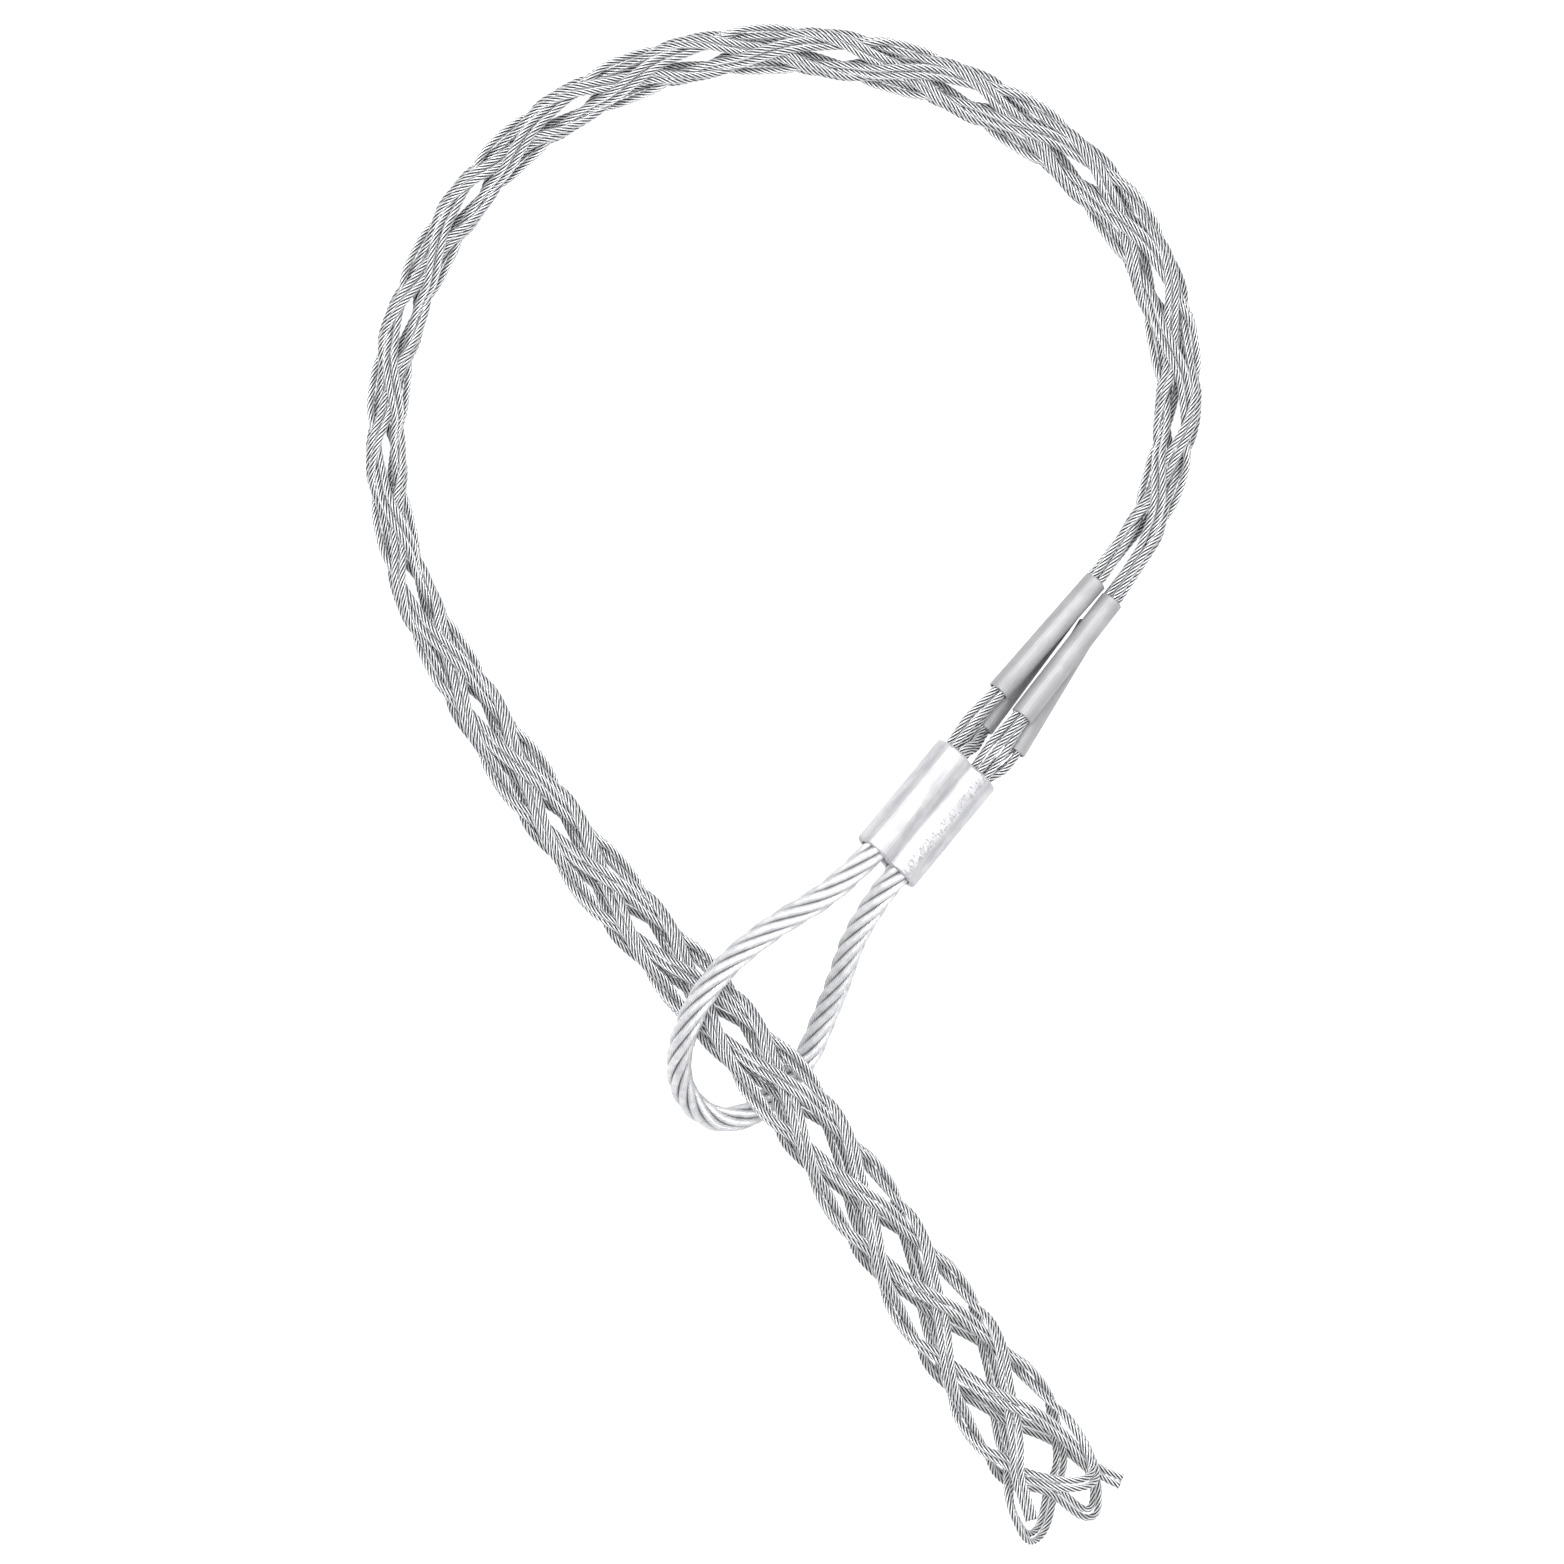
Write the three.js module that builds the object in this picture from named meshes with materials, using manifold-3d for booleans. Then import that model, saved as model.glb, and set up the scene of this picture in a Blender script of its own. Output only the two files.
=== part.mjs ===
// A cable pulling grip: a woven wire sock whose closed end is gathered into four thin sleeves and
// one double-barrelled ferrule, with a rope eye that stands out of the ferrule's other end.
// The sock lies on the ground in an open loop, and its tail runs through the eye.
// Millimetres, +Z up, the ground at Z = 0.

import * as THREE from 'three';
import { mergeVertices } from 'three/addons/utils/BufferGeometryUtils.js';
import Module from 'manifold-3d';

const wasm = await Module();
wasm.setup();

// Wire sock
const meshWire = 1.5; // diameter of one mesh wire
const wireRoom = 0.12; // room between two wires that lie side by side
const pairsEachWay = 4; // pairs of wires that wind each way round the sock
const weaveRun = 14.2; // length of wire from one crossing to the next
const firstCrossing = 11.6; // from the sock's mouth to its first crossing
const leadIn = 10.5; // least length of sock between the last crossing and the sleeves
const crossingTurn = -33; // degrees from the top of the sock to a crossing at the mouth
const crowding = 1.09; // room left round the sock where its wires lie closest
const groundRoom = 0; // height of the lowest wires over the ground

// Sleeves
const sleeveWall = 0.4;
const sleeveLength = 30;
const sleeveRoom = 0.07; // between the four wires and the sleeve round them
const sleeveSpacing = 0.1; // between neighbouring sleeves
const bundleTilt = 11; // degrees that the sleeves rise towards the ferrule

// Ferrule
const barrelDiameter = 8.4;
const barrelSpacing = 7.0;
const waistFillet = 1.5; // radius of the hollow between the two barrels
const ferruleLength = 26;
const ferruleTilt = 13; // degrees that the ferrule rises towards the eye
const ferruleRoll = 20; // degrees that one barrel is turned up over the other
const lipBevel = 0.5; // rounding of the ferrule's end edges
const boreNeck = 2.6; // height of the slot that joins the two bores
const runSpread = 0.8; // how far the wires bow out between the sleeves and the ferrule
const slotRoom = 0.1; // extra room between the wires inside the ferrule
const endsApart = 1.0; // between the rope ends and the wire ends inside the ferrule

// Rope eye
const eyeRope = 5.2; // diameter of the eye rope
const ropeRoom = 0.3; // between the rope and the ferrule's bore
const passRoom = 0.3; // between the rope and the sock that lies on it

// How finely the round forms are cut
const barrelFacets = 14; // along each arc of the ferrule's outline
const sleeveFacets = 28; // round a sleeve
const ropeFacets = 10; // round the eye rope
const ropeSteps = 52; // along the eye rope

// Route of the sock from its mouth to its sleeves: middle, width seen from above, and how
// far the sock is held off the ground where the eye rope passes under it
const sockRoute = [
  { x: 55.7, y: -145.2, width: 20.8, lift: 0 },
  { x: 50.9, y: -134.1, width: 21.0, lift: 0 },
  { x: 43.9, y: -124.3, width: 19.8, lift: 0 },
  { x: 30.3, y: -104.7, width: 17.2, lift: 0 },
  { x: 16.8, y: -84.8, width: 15.4, lift: 0.5 },
  { x: 3.2, y: -65.2, width: 14.4, lift: 1 },
  { x: -8.2, y: -51.4, width: 13.8, lift: 0.7 },
  { x: -20.2, y: -37.6, width: 13.2, lift: 0.3 },
  { x: -36.0, y: -19.6, width: 12.8, lift: 0 },
  { x: -50.6, y: -0.6, width: 12.0, lift: 0 },
  { x: -63.6, y: 19.4, width: 10.6, lift: 0 },
  { x: -74.6, y: 40.8, width: 8.6, lift: 0 },
  { x: -79.2, y: 64.2, width: 8.2, lift: 0 },
  { x: -76.8, y: 88.0, width: 8.4, lift: 0 },
  { x: -67.4, y: 109.8, width: 8.6, lift: 0 },
  { x: -52.2, y: 128.0, width: 9.0, lift: 0 },
  { x: -31.6, y: 140.4, width: 9.6, lift: 0 },
  { x: -8.4, y: 146.2, width: 9.8, lift: 0 },
  { x: 15.4, y: 144.6, width: 10.4, lift: 0 },
  { x: 38.0, y: 137.2, width: 11.0, lift: 0 },
  { x: 58.0, y: 123.8, width: 11.4, lift: 0 },
  { x: 72.6, y: 105.0, width: 11.0, lift: 0 },
  { x: 78.6, y: 82.0, width: 9.8, lift: 0 },
  { x: 77.0, y: 65.0, width: 9.0, lift: 0 },
  { x: 72.0, y: 51.0, width: 8.2, lift: 0 },
  { x: 64.0, y: 38.7, width: 8.2, lift: 0 },
];

// Where the sleeves' bundle starts and where the ferrule's two ends lie
const bundleTop = new THREE.Vector3(64.0, 38.7, 8.0);
const bundleHeading = new THREE.Vector2(-0.66, -0.75);
const ferruleStart = new THREE.Vector3(36.4, 3.8, 16.5);
const ferruleHeading = new THREE.Vector2(-0.64, -0.77);

// Route of the eye rope between the two bores of the ferrule, from the upper barrel over the
// sock, round its far side, under it on the ground and back to the lower barrel
const eyeRoute = [
  [8.6, -21.8, 23.4],
  [-2.0, -28.5, 22.7],
  [-10.6, -35.4, 21.3],
  [-16.5, -42.7, 19.6],
  [-19.5, -49.3, 17.0],
  [-20.8, -54.6, 13.1],
  [-20.4, -59.9, 8.8],
  [-17.8, -64.3, 5.2],
  [-13.0, -67.2, 3.1],
  [-8.7, -66.7, 2.6],
  [-5.9, -65.8, 2.6],
  [-2.6, -62.6, 2.6],
  [1.3, -58.6, 2.6],
  [4.8, -54.4, 3.0],
  [7.6, -47.9, 5.8],
  [10.9, -39.7, 10.8],
  [13.9, -31.1, 16.0],
  [18.6, -23.0, 19.9],
];

// The pairs at the mouth of the sock: distance from the mouth, degrees round from the top,
// distance out of the weave's middle in half wire pitches, and for a pair that leaves the
// sock's surface the degrees that its flat side faces
const topTurn = [
  [11.4, -36, -1],
  [8.8, -16, -1],
  [7.0, 2, -0.7],
  [5.6, 18, -0.3],
  [4.7, 34, 0.3],
  [4.5, 49, 0.8],
  [5.2, 62, 1],
  [7.0, 69, 1],
  [9.6, 70, 1],
  [12.0, 70, 1],
];
const lowTurn = [
  [6.4, 171, 0.5],
  [4.6, 182, 1],
  [1.6, 194, 1],
  [-0.9, 206, 1],
  [-2.3, 219, 1],
  [-2.6, 233, 1],
  [-1.6, 247, 0.8],
  [1.4, 258, 0.6],
  [5.0, 262, 0.4],
  [8.6, 252, -0.3],
  [11.8, 236.5, -1],
];
const sideTurn = [
  [7.2, 207, 0],
  [5.6, 192, -1],
  [3.6, 178, -1],
  [1.0, 168, -1],
  [-1.4, 159, -1],
  [-2.8, 149, -0.7],
  [-2.6, 138, -0.3],
  [-0.6, 129, 0.2],
  [1.6, 123, 0.6],
  [4.0, 121, 1],
  [6.2, 125, 1],
];
const topTail = [
  [11.2, -34, 1],
  [6.6, -38, 1],
  [1.6, -40, 1],
];
const sideTail = [
  [6.4, 86, -0.2, 66],
  [4.6, 94, 1.4, 44],
  [3.0, 97, 3.2, 24],
  [1.2, 98, 5.2, 12],
];

// Sizes that follow from the ones above
const pitch = meshWire + wireRoom;
const step = pitch / 2;
const wireSide = meshWire * Math.SQRT1_2;
const runsInSock = 4 * pairsEachWay;
const closestRadius = (crowding * runsInSock * pitch) / (2 * Math.PI);
const sockWall = meshWire;
const sleeveBore = 2 * (Math.SQRT2 * (step + wireSide / 2) + sleeveRoom);
const sleeveDiameter = sleeveBore + 2 * sleeveWall;
const sleevePitch = sleeveDiameter + sleeveSpacing;
const ringWires = 2 * pairsEachWay - 1;
const ringRadius = (pitch / 2 + slotRoom) / Math.sin(Math.PI / ringWires);
const wireBore = 2 * (ringRadius + meshWire / 2 + sleeveRoom);
const ropeBore = eyeRope + 2 * ropeRoom;
const gripDepth = (ferruleLength - endsApart) / 2;

// Where each sleeve starts and ends: millimetres to the side of the bundle's middle and above
// it, and how far the sleeve starts down the bundle. barrel is 1 for the ferrule's upper barrel
const row = sleevePitch / 2;
const sleeveSeats = [
  { name: 'sleeve_upper_left', side: [2.5, 2.5], up: [row, row], ahead: 0.4, barrel: 1 },
  { name: 'sleeve_upper_right', side: [-2.5, -4.2], up: [row, row], ahead: 1.2, barrel: -1 },
  { name: 'sleeve_lower_right', side: [-2.5, -7.8], up: [-row, -row], ahead: 6.9, barrel: -1 },
  { name: 'sleeve_lower_left', side: [2.5, 0.1], up: [-row, -row], ahead: 7.2, barrel: 1 },
];

const galvanised = { color: 0xc9ccd0, roughness: 0.38, metalness: 0.9 };
const aluminium = { color: 0xdfe1e4, roughness: 0.42, metalness: 0.85 };
const tinned = { color: 0xc4c5c8, roughness: 0.6, metalness: 0.55 };

// A closed, merged copy of a geometry with positions only
function bare(geometry) {
  const copy = geometry.clone();
  copy.deleteAttribute('normal');
  copy.deleteAttribute('uv');
  return mergeVertices(copy, 1e-4);
}

function toSolid(geometry) {
  const merged = bare(geometry);
  const mesh = new wasm.Mesh({
    numProp: 3,
    vertProperties: new Float32Array(merged.attributes.position.array),
    triVerts: new Uint32Array(merged.index.array),
  });
  return new wasm.Manifold(mesh);
}

function toGeometry(solid) {
  const mesh = solid.getMesh();
  const geometry = new THREE.BufferGeometry();
  geometry.setAttribute('position', new THREE.BufferAttribute(new Float32Array(mesh.vertProperties), 3));
  geometry.setIndex(new THREE.BufferAttribute(new Uint32Array(mesh.triVerts), 1));
  geometry.computeVertexNormals();
  return geometry;
}

// Half width and straight half height of the sock's section: round where there is room, and
// standing taller with straight sides where it is squeezed narrower than its wires allow
function sectionSize(width) {
  const half = width / 2 - sockWall;
  const straight = Math.max(0, (Math.PI / 2) * (closestRadius - half));
  return { half, straight, around: 2 * Math.PI * half + 4 * straight };
}

const routePoints = sockRoute.map(({ x, y, width, lift }) => {
  const { half, straight } = sectionSize(width);
  const passed = lift * (eyeRope + passRoom);
  return new THREE.Vector3(x, y, half + straight + sockWall + groundRoom + passed);
});
const sockLine = new THREE.CatmullRomCurve3(routePoints, false, 'catmullrom', 0.5);
sockLine.arcLengthDivisions = 2000;
const sockLength = sockLine.getLength();
const widthLine = new THREE.CatmullRomCurve3(
  sockRoute.map(({ width }) => new THREE.Vector3(width, 0, 0)),
  false,
  'catmullrom',
  0.5,
);

// The sock at a distance from its mouth: middle, directions and section
function sockAt(distance) {
  const inside = Math.min(Math.max(distance, 0), sockLength);
  const t = sockLine.getUtoTmapping(inside / sockLength);
  const along = sockLine.getTangent(t);
  const middle = sockLine.getPoint(t).addScaledVector(along, distance - inside);
  const side = new THREE.Vector3(along.y, -along.x, 0).normalize();
  const up = new THREE.Vector3().crossVectors(side, along);
  return { middle, along, side, up, ...sectionSize(widthLine.getPoint(t).x) };
}

// A place on the sock, a share of the way round from its top and some way out of the weave
function placeOn(sock, share, out) {
  const quarter = (Math.PI / 2) * sock.half;
  const wrapped = (share - Math.round(share)) * sock.around;
  const sign = wrapped < 0 ? -1 : 1;
  const reach = Math.abs(wrapped);
  let angle = reach / sock.half;
  let height = sock.straight;
  if (reach > quarter + 2 * sock.straight) {
    angle = (reach - 2 * sock.straight) / sock.half;
    height = -sock.straight;
  } else if (reach > quarter) {
    angle = Math.PI / 2;
    height = sock.straight - (reach - quarter);
  }
  const outward = sock.side.clone().multiplyScalar(sign * Math.sin(angle));
  outward.addScaledVector(sock.up, Math.cos(angle));
  const point = sock.middle.clone().addScaledVector(sock.up, height);
  point.addScaledVector(outward, sock.half + out);
  return { point, outward };
}

// Distances of the crossings from the mouth, closer together where the sock is wide
function crossingPlaces() {
  const places = [firstCrossing];
  while (places[places.length - 1] < sockLength - leadIn) {
    const last = places[places.length - 1];
    const turned = sockAt(last).around / (2 * pairsEachWay);
    places.push(last + Math.sqrt(weaveRun ** 2 - turned ** 2));
  }
  while (places[places.length - 1] > sockLength - leadIn || places.length % 2 === 0) {
    places.pop();
  }
  return places;
}

const crossings = crossingPlaces();
const lastCrossing = crossings.length - 1;

// Distance from the mouth at a count of crossings that need not be whole
function distanceAt(count) {
  const whole = Math.min(Math.max(Math.floor(count), 0), lastCrossing - 1);
  const gap = crossings[whole + 1] - crossings[whole];
  return crossings[whole] + (count - whole) * gap;
}

// How far a wire has moved round the sock at a count of crossings: it lingers between two
// crossings, where it changes from over to under
const lingering = 0.5;
function progressAt(count) {
  const whole = Math.floor(count);
  const fromMiddle = 2 * (count - whole) - 1;
  const eased = fromMiddle - (lingering / Math.PI) * Math.sin(Math.PI * fromMiddle);
  return whole + 0.5 + eased / 2;
}

// Over and under: the wire keeps its side for a quarter of the way from each crossing
function overAt(count, family) {
  const nearest = Math.round(count);
  const odd = Math.abs(nearest) % 2 === 1;
  return (odd ? 1 : -1) * family;
}

// The line of one pair down the middle of its two wires, from the mouth to the last crossing.
// family is 1 for the pairs that wind one way and -1 for the others
function weavePlaces(family, index, from) {
  const place = (count) => {
    const sock = sockAt(distanceAt(count));
    const start = crossingTurn / 360 + index / pairsEachWay;
    const share = start - (family * progressAt(count)) / (2 * pairsEachWay);
    return placeOn(sock, share, overAt(count, family) * step);
  };
  const places = [];
  for (let count = from; count < lastCrossing; count += 0.5) {
    places.push(place(count));
  }
  places.push(place(lastCrossing));
  return places;
}

// The line of one pair through hand-set places at the mouth
function mouthPlaces(places) {
  return places.map(([distance, degrees, out, facing = degrees]) => {
    const sock = sockAt(distance);
    const { point } = placeOn(sock, degrees / 360, out * step);
    return { point, outward: placeOn(sock, facing / 360, 0).outward };
  });
}

// One wire of a pair: its rings lie beside the pair's line, to the left of it for side 1
function layWire(places, side) {
  const last = places.length - 1;
  return places.map(({ point, outward }, i) => {
    const before = places[Math.max(i - 1, 0)].point;
    const after = places[Math.min(i + 1, last)].point;
    const heading = after.clone().sub(before);
    const across = new THREE.Vector3().crossVectors(outward, heading).normalize();
    return { point: point.clone().addScaledVector(across, side * step), outward };
  });
}

// Directions of a straight run: heading in plan, tilt up, and the two directions across it
function straightFrame(heading, tilt) {
  const rise = THREE.MathUtils.degToRad(tilt);
  const flat = heading.clone().normalize();
  const along = new THREE.Vector3(flat.x * Math.cos(rise), flat.y * Math.cos(rise), Math.sin(rise));
  const side = new THREE.Vector3(along.y, -along.x, 0).normalize();
  const up = new THREE.Vector3().crossVectors(side, along);
  return { along, side, up };
}

const bundle = straightFrame(bundleHeading, bundleTilt);
const ferrule = straightFrame(ferruleHeading, ferruleTilt);

// A place along a sleeve's axis
function sleevePoint(seat, distance) {
  const share = distance / sleeveLength;
  const side = THREE.MathUtils.lerp(seat.side[0], seat.side[1], share);
  const up = THREE.MathUtils.lerp(seat.up[0], seat.up[1], share);
  const point = bundleTop.clone().addScaledVector(bundle.side, side);
  point.addScaledVector(bundle.up, up);
  return point.addScaledVector(bundle.along, seat.ahead + distance);
}

// A barrel's axis, where barrel is 1 for the upper one and -1 for the lower one
function barrelPoint(barrel, depth) {
  const roll = THREE.MathUtils.degToRad(ferruleRoll);
  const point = ferruleStart.clone().addScaledVector(ferrule.along, depth);
  point.addScaledVector(ferrule.side, (barrel * Math.cos(roll) * barrelSpacing) / 2);
  return point.addScaledVector(ferrule.up, (barrel * Math.sin(roll) * barrelSpacing) / 2);
}

// The sleeve that takes the four wires of one crossing: the one that its place is nearest to
function seatFor(sock, centre) {
  const offset = centre.clone().sub(sock.middle);
  const side = Math.sign(offset.dot(sock.side));
  const up = Math.sign(offset.dot(sock.up));
  return sleeveSeats.find((seat) => Math.sign(seat.side[0]) === side && Math.sign(seat.up[0]) === up);
}

// Every wire run between the last crossing and the ferrule: its seat and its place in it
function listRuns() {
  const sock = sockAt(distanceAt(lastCrossing));
  const runs = [];
  for (const family of [1, -1]) {
    for (let index = 0; index < pairsEachWay; index += 1) {
      const turned = (family * lastCrossing) / (2 * pairsEachWay);
      const centre = placeOn(sock, crossingTurn / 360 + index / pairsEachWay - turned, 0).point;
      const seat = seatFor(sock, centre);
      for (const side of [1, -1]) {
        const ring = layWire(weavePlaces(family, index, 0.25), -side).pop();
        const offset = ring.point.clone().sub(centre);
        const across = offset.dot(sock.side);
        const rise = offset.dot(sock.up);
        const faced = [ring.outward.dot(sock.side), ring.outward.dot(sock.up)];
        runs.push({ family, index, side, seat, across, rise, faced });
      }
    }
  }
  return runs;
}

// Slots of a barrel: the wire nearest to its middle stays there, and the others stand in a
// ring in the order that they come in
function setSlots(runs, barrel) {
  const mine = runs.filter((run) => run.seat.barrel === barrel);
  const roll = THREE.MathUtils.degToRad(ferruleRoll);
  const middleSide = sleeveSeats.reduce((sum, seat) => sum + seat.side[1], 0) / sleeveSeats.length;
  for (const run of mine) {
    run.u = run.seat.side[1] - middleSide + run.across - (barrel * Math.cos(roll) * barrelSpacing) / 2;
    run.w = run.seat.up[1] + run.rise - (barrel * Math.sin(roll) * barrelSpacing) / 2;
  }
  mine.sort((a, b) => Math.hypot(a.u, a.w) - Math.hypot(b.u, b.w));
  const [middle, ...ring] = mine;
  middle.slot = [0, 0];
  const midU = ring.reduce((sum, run) => sum + run.u, 0) / ringWires;
  const midW = ring.reduce((sum, run) => sum + run.w, 0) / ringWires;
  const angle = (run) => Math.atan2(run.u - midU, run.w - midW);
  ring.sort((a, b) => angle(a) - angle(b));
  const turn = (2 * Math.PI) / ringWires;
  let first = 0;
  ring.forEach((run, i) => {
    first += (Math.atan2(run.u, run.w) - i * turn) / ringWires;
  });
  ring.forEach((run, i) => {
    const at = first + i * turn;
    run.slot = [Math.sin(at) * ringRadius, Math.cos(at) * ringRadius];
  });
}

const runs = listRuns();
setSlots(runs, 1);
setSlots(runs, -1);

// Rings of one wire from the last crossing through its sleeve and into its barrel
function tailRings(family, index, side) {
  const run = runs.find((each) => each.family === family && each.index === index && each.side === side);
  const facing = (frame) => {
    const outward = frame.side.clone().multiplyScalar(run.faced[0]);
    return outward.addScaledVector(frame.up, run.faced[1]);
  };
  const inSleeve = (distance) => {
    const point = sleevePoint(run.seat, distance);
    point.addScaledVector(bundle.side, run.across).addScaledVector(bundle.up, run.rise);
    return { point, outward: facing(bundle) };
  };
  const inBarrel = (depth) => {
    const point = barrelPoint(run.seat.barrel, depth);
    point.addScaledVector(ferrule.side, run.slot[0]).addScaledVector(ferrule.up, run.slot[1]);
    return { point, outward: facing(ferrule) };
  };
  const lip = meshWire;
  const leaving = inSleeve(sleeveLength + lip / 2);
  const entering = inBarrel(-lip);
  const between = leaving.point.clone().lerp(entering.point, 0.6);
  const depth = between.clone().sub(ferruleStart).dot(ferrule.along);
  const away = between.clone().sub(barrelPoint(run.seat.barrel, depth));
  const spread = Math.hypot(...run.slot) > 0 ? runSpread : 0;
  between.addScaledVector(away.normalize(), spread);
  return [
    inSleeve(-lip),
    leaving,
    { point: between, outward: leaving.outward },
    entering,
    inBarrel(gripDepth),
  ];
}

// A path that hands its own rings to the extrusion, so that a wire's flat sides keep facing
// out of the weave
class RingPath extends THREE.Curve {
  constructor(rings) {
    super();
    this.rings = rings;
  }

  getPoint(t) {
    const place = t * (this.rings.length - 1);
    const before = Math.min(Math.floor(place), this.rings.length - 2);
    return this.rings[before].point.clone().lerp(this.rings[before + 1].point, place - before);
  }

  getSpacedPoints() {
    return this.rings.map((ring) => ring.point);
  }

  computeFrenetFrames() {
    const last = this.rings.length - 1;
    const tangents = this.rings.map((ring, i) => {
      const before = this.rings[Math.max(i - 1, 0)].point;
      const after = this.rings[Math.min(i + 1, last)].point;
      return after.clone().sub(before).normalize();
    });
    const normals = this.rings.map(({ outward }, i) => {
      const square = outward.clone().addScaledVector(tangents[i], -outward.dot(tangents[i]));
      return square.normalize();
    });
    const binormals = tangents.map((tangent, i) => new THREE.Vector3().crossVectors(tangent, normals[i]));
    return { tangents, normals, binormals };
  }
}

const half = wireSide / 2;
const wireShape = new THREE.Shape([
  new THREE.Vector2(half, half),
  new THREE.Vector2(-half, half),
  new THREE.Vector2(-half, -half),
  new THREE.Vector2(half, -half),
]);

function sweepWire(rings) {
  const path = new RingPath(rings);
  return new THREE.ExtrudeGeometry(wireShape, { steps: rings.length - 1, extrudePath: path });
}

// A wire with a free end at the mouth
function tailedWire(side, { family, index, from }, tail) {
  const places = [...mouthPlaces(tail).reverse(), ...weavePlaces(family, index, from)];
  return sweepWire([...layWire(places, side), ...tailRings(family, index, -side)]);
}

// A wire that comes down the sock with one pair, turns at the mouth and goes back with another
function turnedWire(side, down, back, turn) {
  const places = [
    ...weavePlaces(down.family, down.index, down.from).reverse(),
    ...mouthPlaces(turn),
    ...weavePlaces(back.family, back.index, back.from),
  ];
  return sweepWire([
    ...tailRings(down.family, down.index, side).reverse(),
    ...layWire(places, side),
    ...tailRings(back.family, back.index, -side),
  ]);
}

// The ferrule's outline: two barrels joined by a waist, or the same form for its bores
function doubleBarrel(diameter, waist) {
  const radius = diameter / 2;
  const apart = barrelSpacing / 2;
  const shape = new THREE.Shape();
  if (waist.fillet) {
    const high = Math.sqrt((radius + waist.fillet) ** 2 - apart ** 2);
    const lean = Math.atan2(high, apart);
    shape.absarc(apart, 0, radius, -(Math.PI - lean), Math.PI - lean, false);
    shape.absarc(0, high, waist.fillet, -lean, -(Math.PI - lean), true);
    shape.absarc(-apart, 0, radius, lean, 2 * Math.PI - lean, false);
    shape.absarc(0, -high, waist.fillet, Math.PI - lean, lean, true);
  } else {
    const open = Math.asin(waist.neck / 2 / radius);
    shape.absarc(apart, 0, radius, -(Math.PI - open), Math.PI - open, false);
    shape.absarc(-apart, 0, radius, open, 2 * Math.PI - open, false);
  }
  return shape;
}

function makeFerrule() {
  const body = new THREE.ExtrudeGeometry(doubleBarrel(barrelDiameter - 2 * lipBevel, {
    fillet: waistFillet + lipBevel,
  }), {
    depth: ferruleLength - 2 * lipBevel,
    curveSegments: barrelFacets,
    bevelEnabled: true,
    bevelSize: lipBevel,
    bevelThickness: lipBevel,
    bevelSegments: 2,
  });
  body.translate(0, 0, lipBevel);
  const boreAt = (diameter, from) => {
    const cut = new THREE.ExtrudeGeometry(doubleBarrel(diameter, { neck: boreNeck }), {
      depth: ferruleLength / 2 + 1,
      curveSegments: barrelFacets,
      bevelEnabled: false,
    });
    cut.translate(0, 0, from);
    return toSolid(cut);
  };
  const wireEnd = boreAt(wireBore, -1);
  const ropeEnd = boreAt(ropeBore, ferruleLength / 2);
  const geometry = toGeometry(toSolid(body).subtract(wireEnd).subtract(ropeEnd));
  const roll = THREE.MathUtils.degToRad(ferruleRoll);
  const across = ferrule.side.clone().multiplyScalar(Math.cos(roll));
  across.addScaledVector(ferrule.up, Math.sin(roll));
  const over = new THREE.Vector3().crossVectors(ferrule.along, across);
  const place = new THREE.Matrix4().makeBasis(across, over, ferrule.along);
  return geometry.applyMatrix4(place.setPosition(ferruleStart));
}

function makeSleeve(seat) {
  const inner = sleeveBore / 2;
  const outer = sleeveDiameter / 2;
  const edge = sleeveWall / 3;
  const profile = [
    new THREE.Vector2(inner, 0),
    new THREE.Vector2(outer - edge, 0),
    new THREE.Vector2(outer, edge),
    new THREE.Vector2(outer, sleeveLength - edge),
    new THREE.Vector2(outer - edge, sleeveLength),
    new THREE.Vector2(inner, sleeveLength),
    new THREE.Vector2(inner, 0),
  ];
  const geometry = new THREE.LatheGeometry(profile, sleeveFacets);
  const start = sleevePoint(seat, 0);
  const heading = sleevePoint(seat, sleeveLength).sub(start).normalize();
  const turn = new THREE.Quaternion().setFromUnitVectors(new THREE.Vector3(0, 1, 0), heading);
  return geometry.applyQuaternion(turn).translate(start.x, start.y, start.z);
}

function makeEyeRope() {
  const mouth = ferruleLength;
  const points = [
    barrelPoint(1, mouth - gripDepth),
    barrelPoint(1, mouth - gripDepth / 2),
    barrelPoint(1, mouth),
    ...eyeRoute.map(([x, y, z]) => new THREE.Vector3(x, y, z)),
    barrelPoint(-1, mouth),
    barrelPoint(-1, mouth - gripDepth / 2),
    barrelPoint(-1, mouth - gripDepth),
  ];
  const route = new THREE.CatmullRomCurve3(points, false, 'catmullrom', 0.5);
  const ring = Array.from({ length: ropeFacets }, (_, i) => {
    const angle = (2 * Math.PI * i) / ropeFacets;
    return new THREE.Vector2(Math.cos(angle), Math.sin(angle)).multiplyScalar(eyeRope / 2);
  });
  return new THREE.ExtrudeGeometry(new THREE.Shape(ring), { steps: ropeSteps, extrudePath: route });
}

const grip = new THREE.Group();

function addPiece(name, geometry, finish) {
  const mesh = new THREE.Mesh(geometry, new THREE.MeshStandardMaterial(finish));
  mesh.name = name;
  grip.add(mesh);
}

addPiece('main_ferrule', makeFerrule(), aluminium);
addPiece('eye_rope', makeEyeRope(), galvanised);
for (const seat of sleeveSeats) {
  addPiece(seat.name, makeSleeve(seat), tinned);
}

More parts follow.
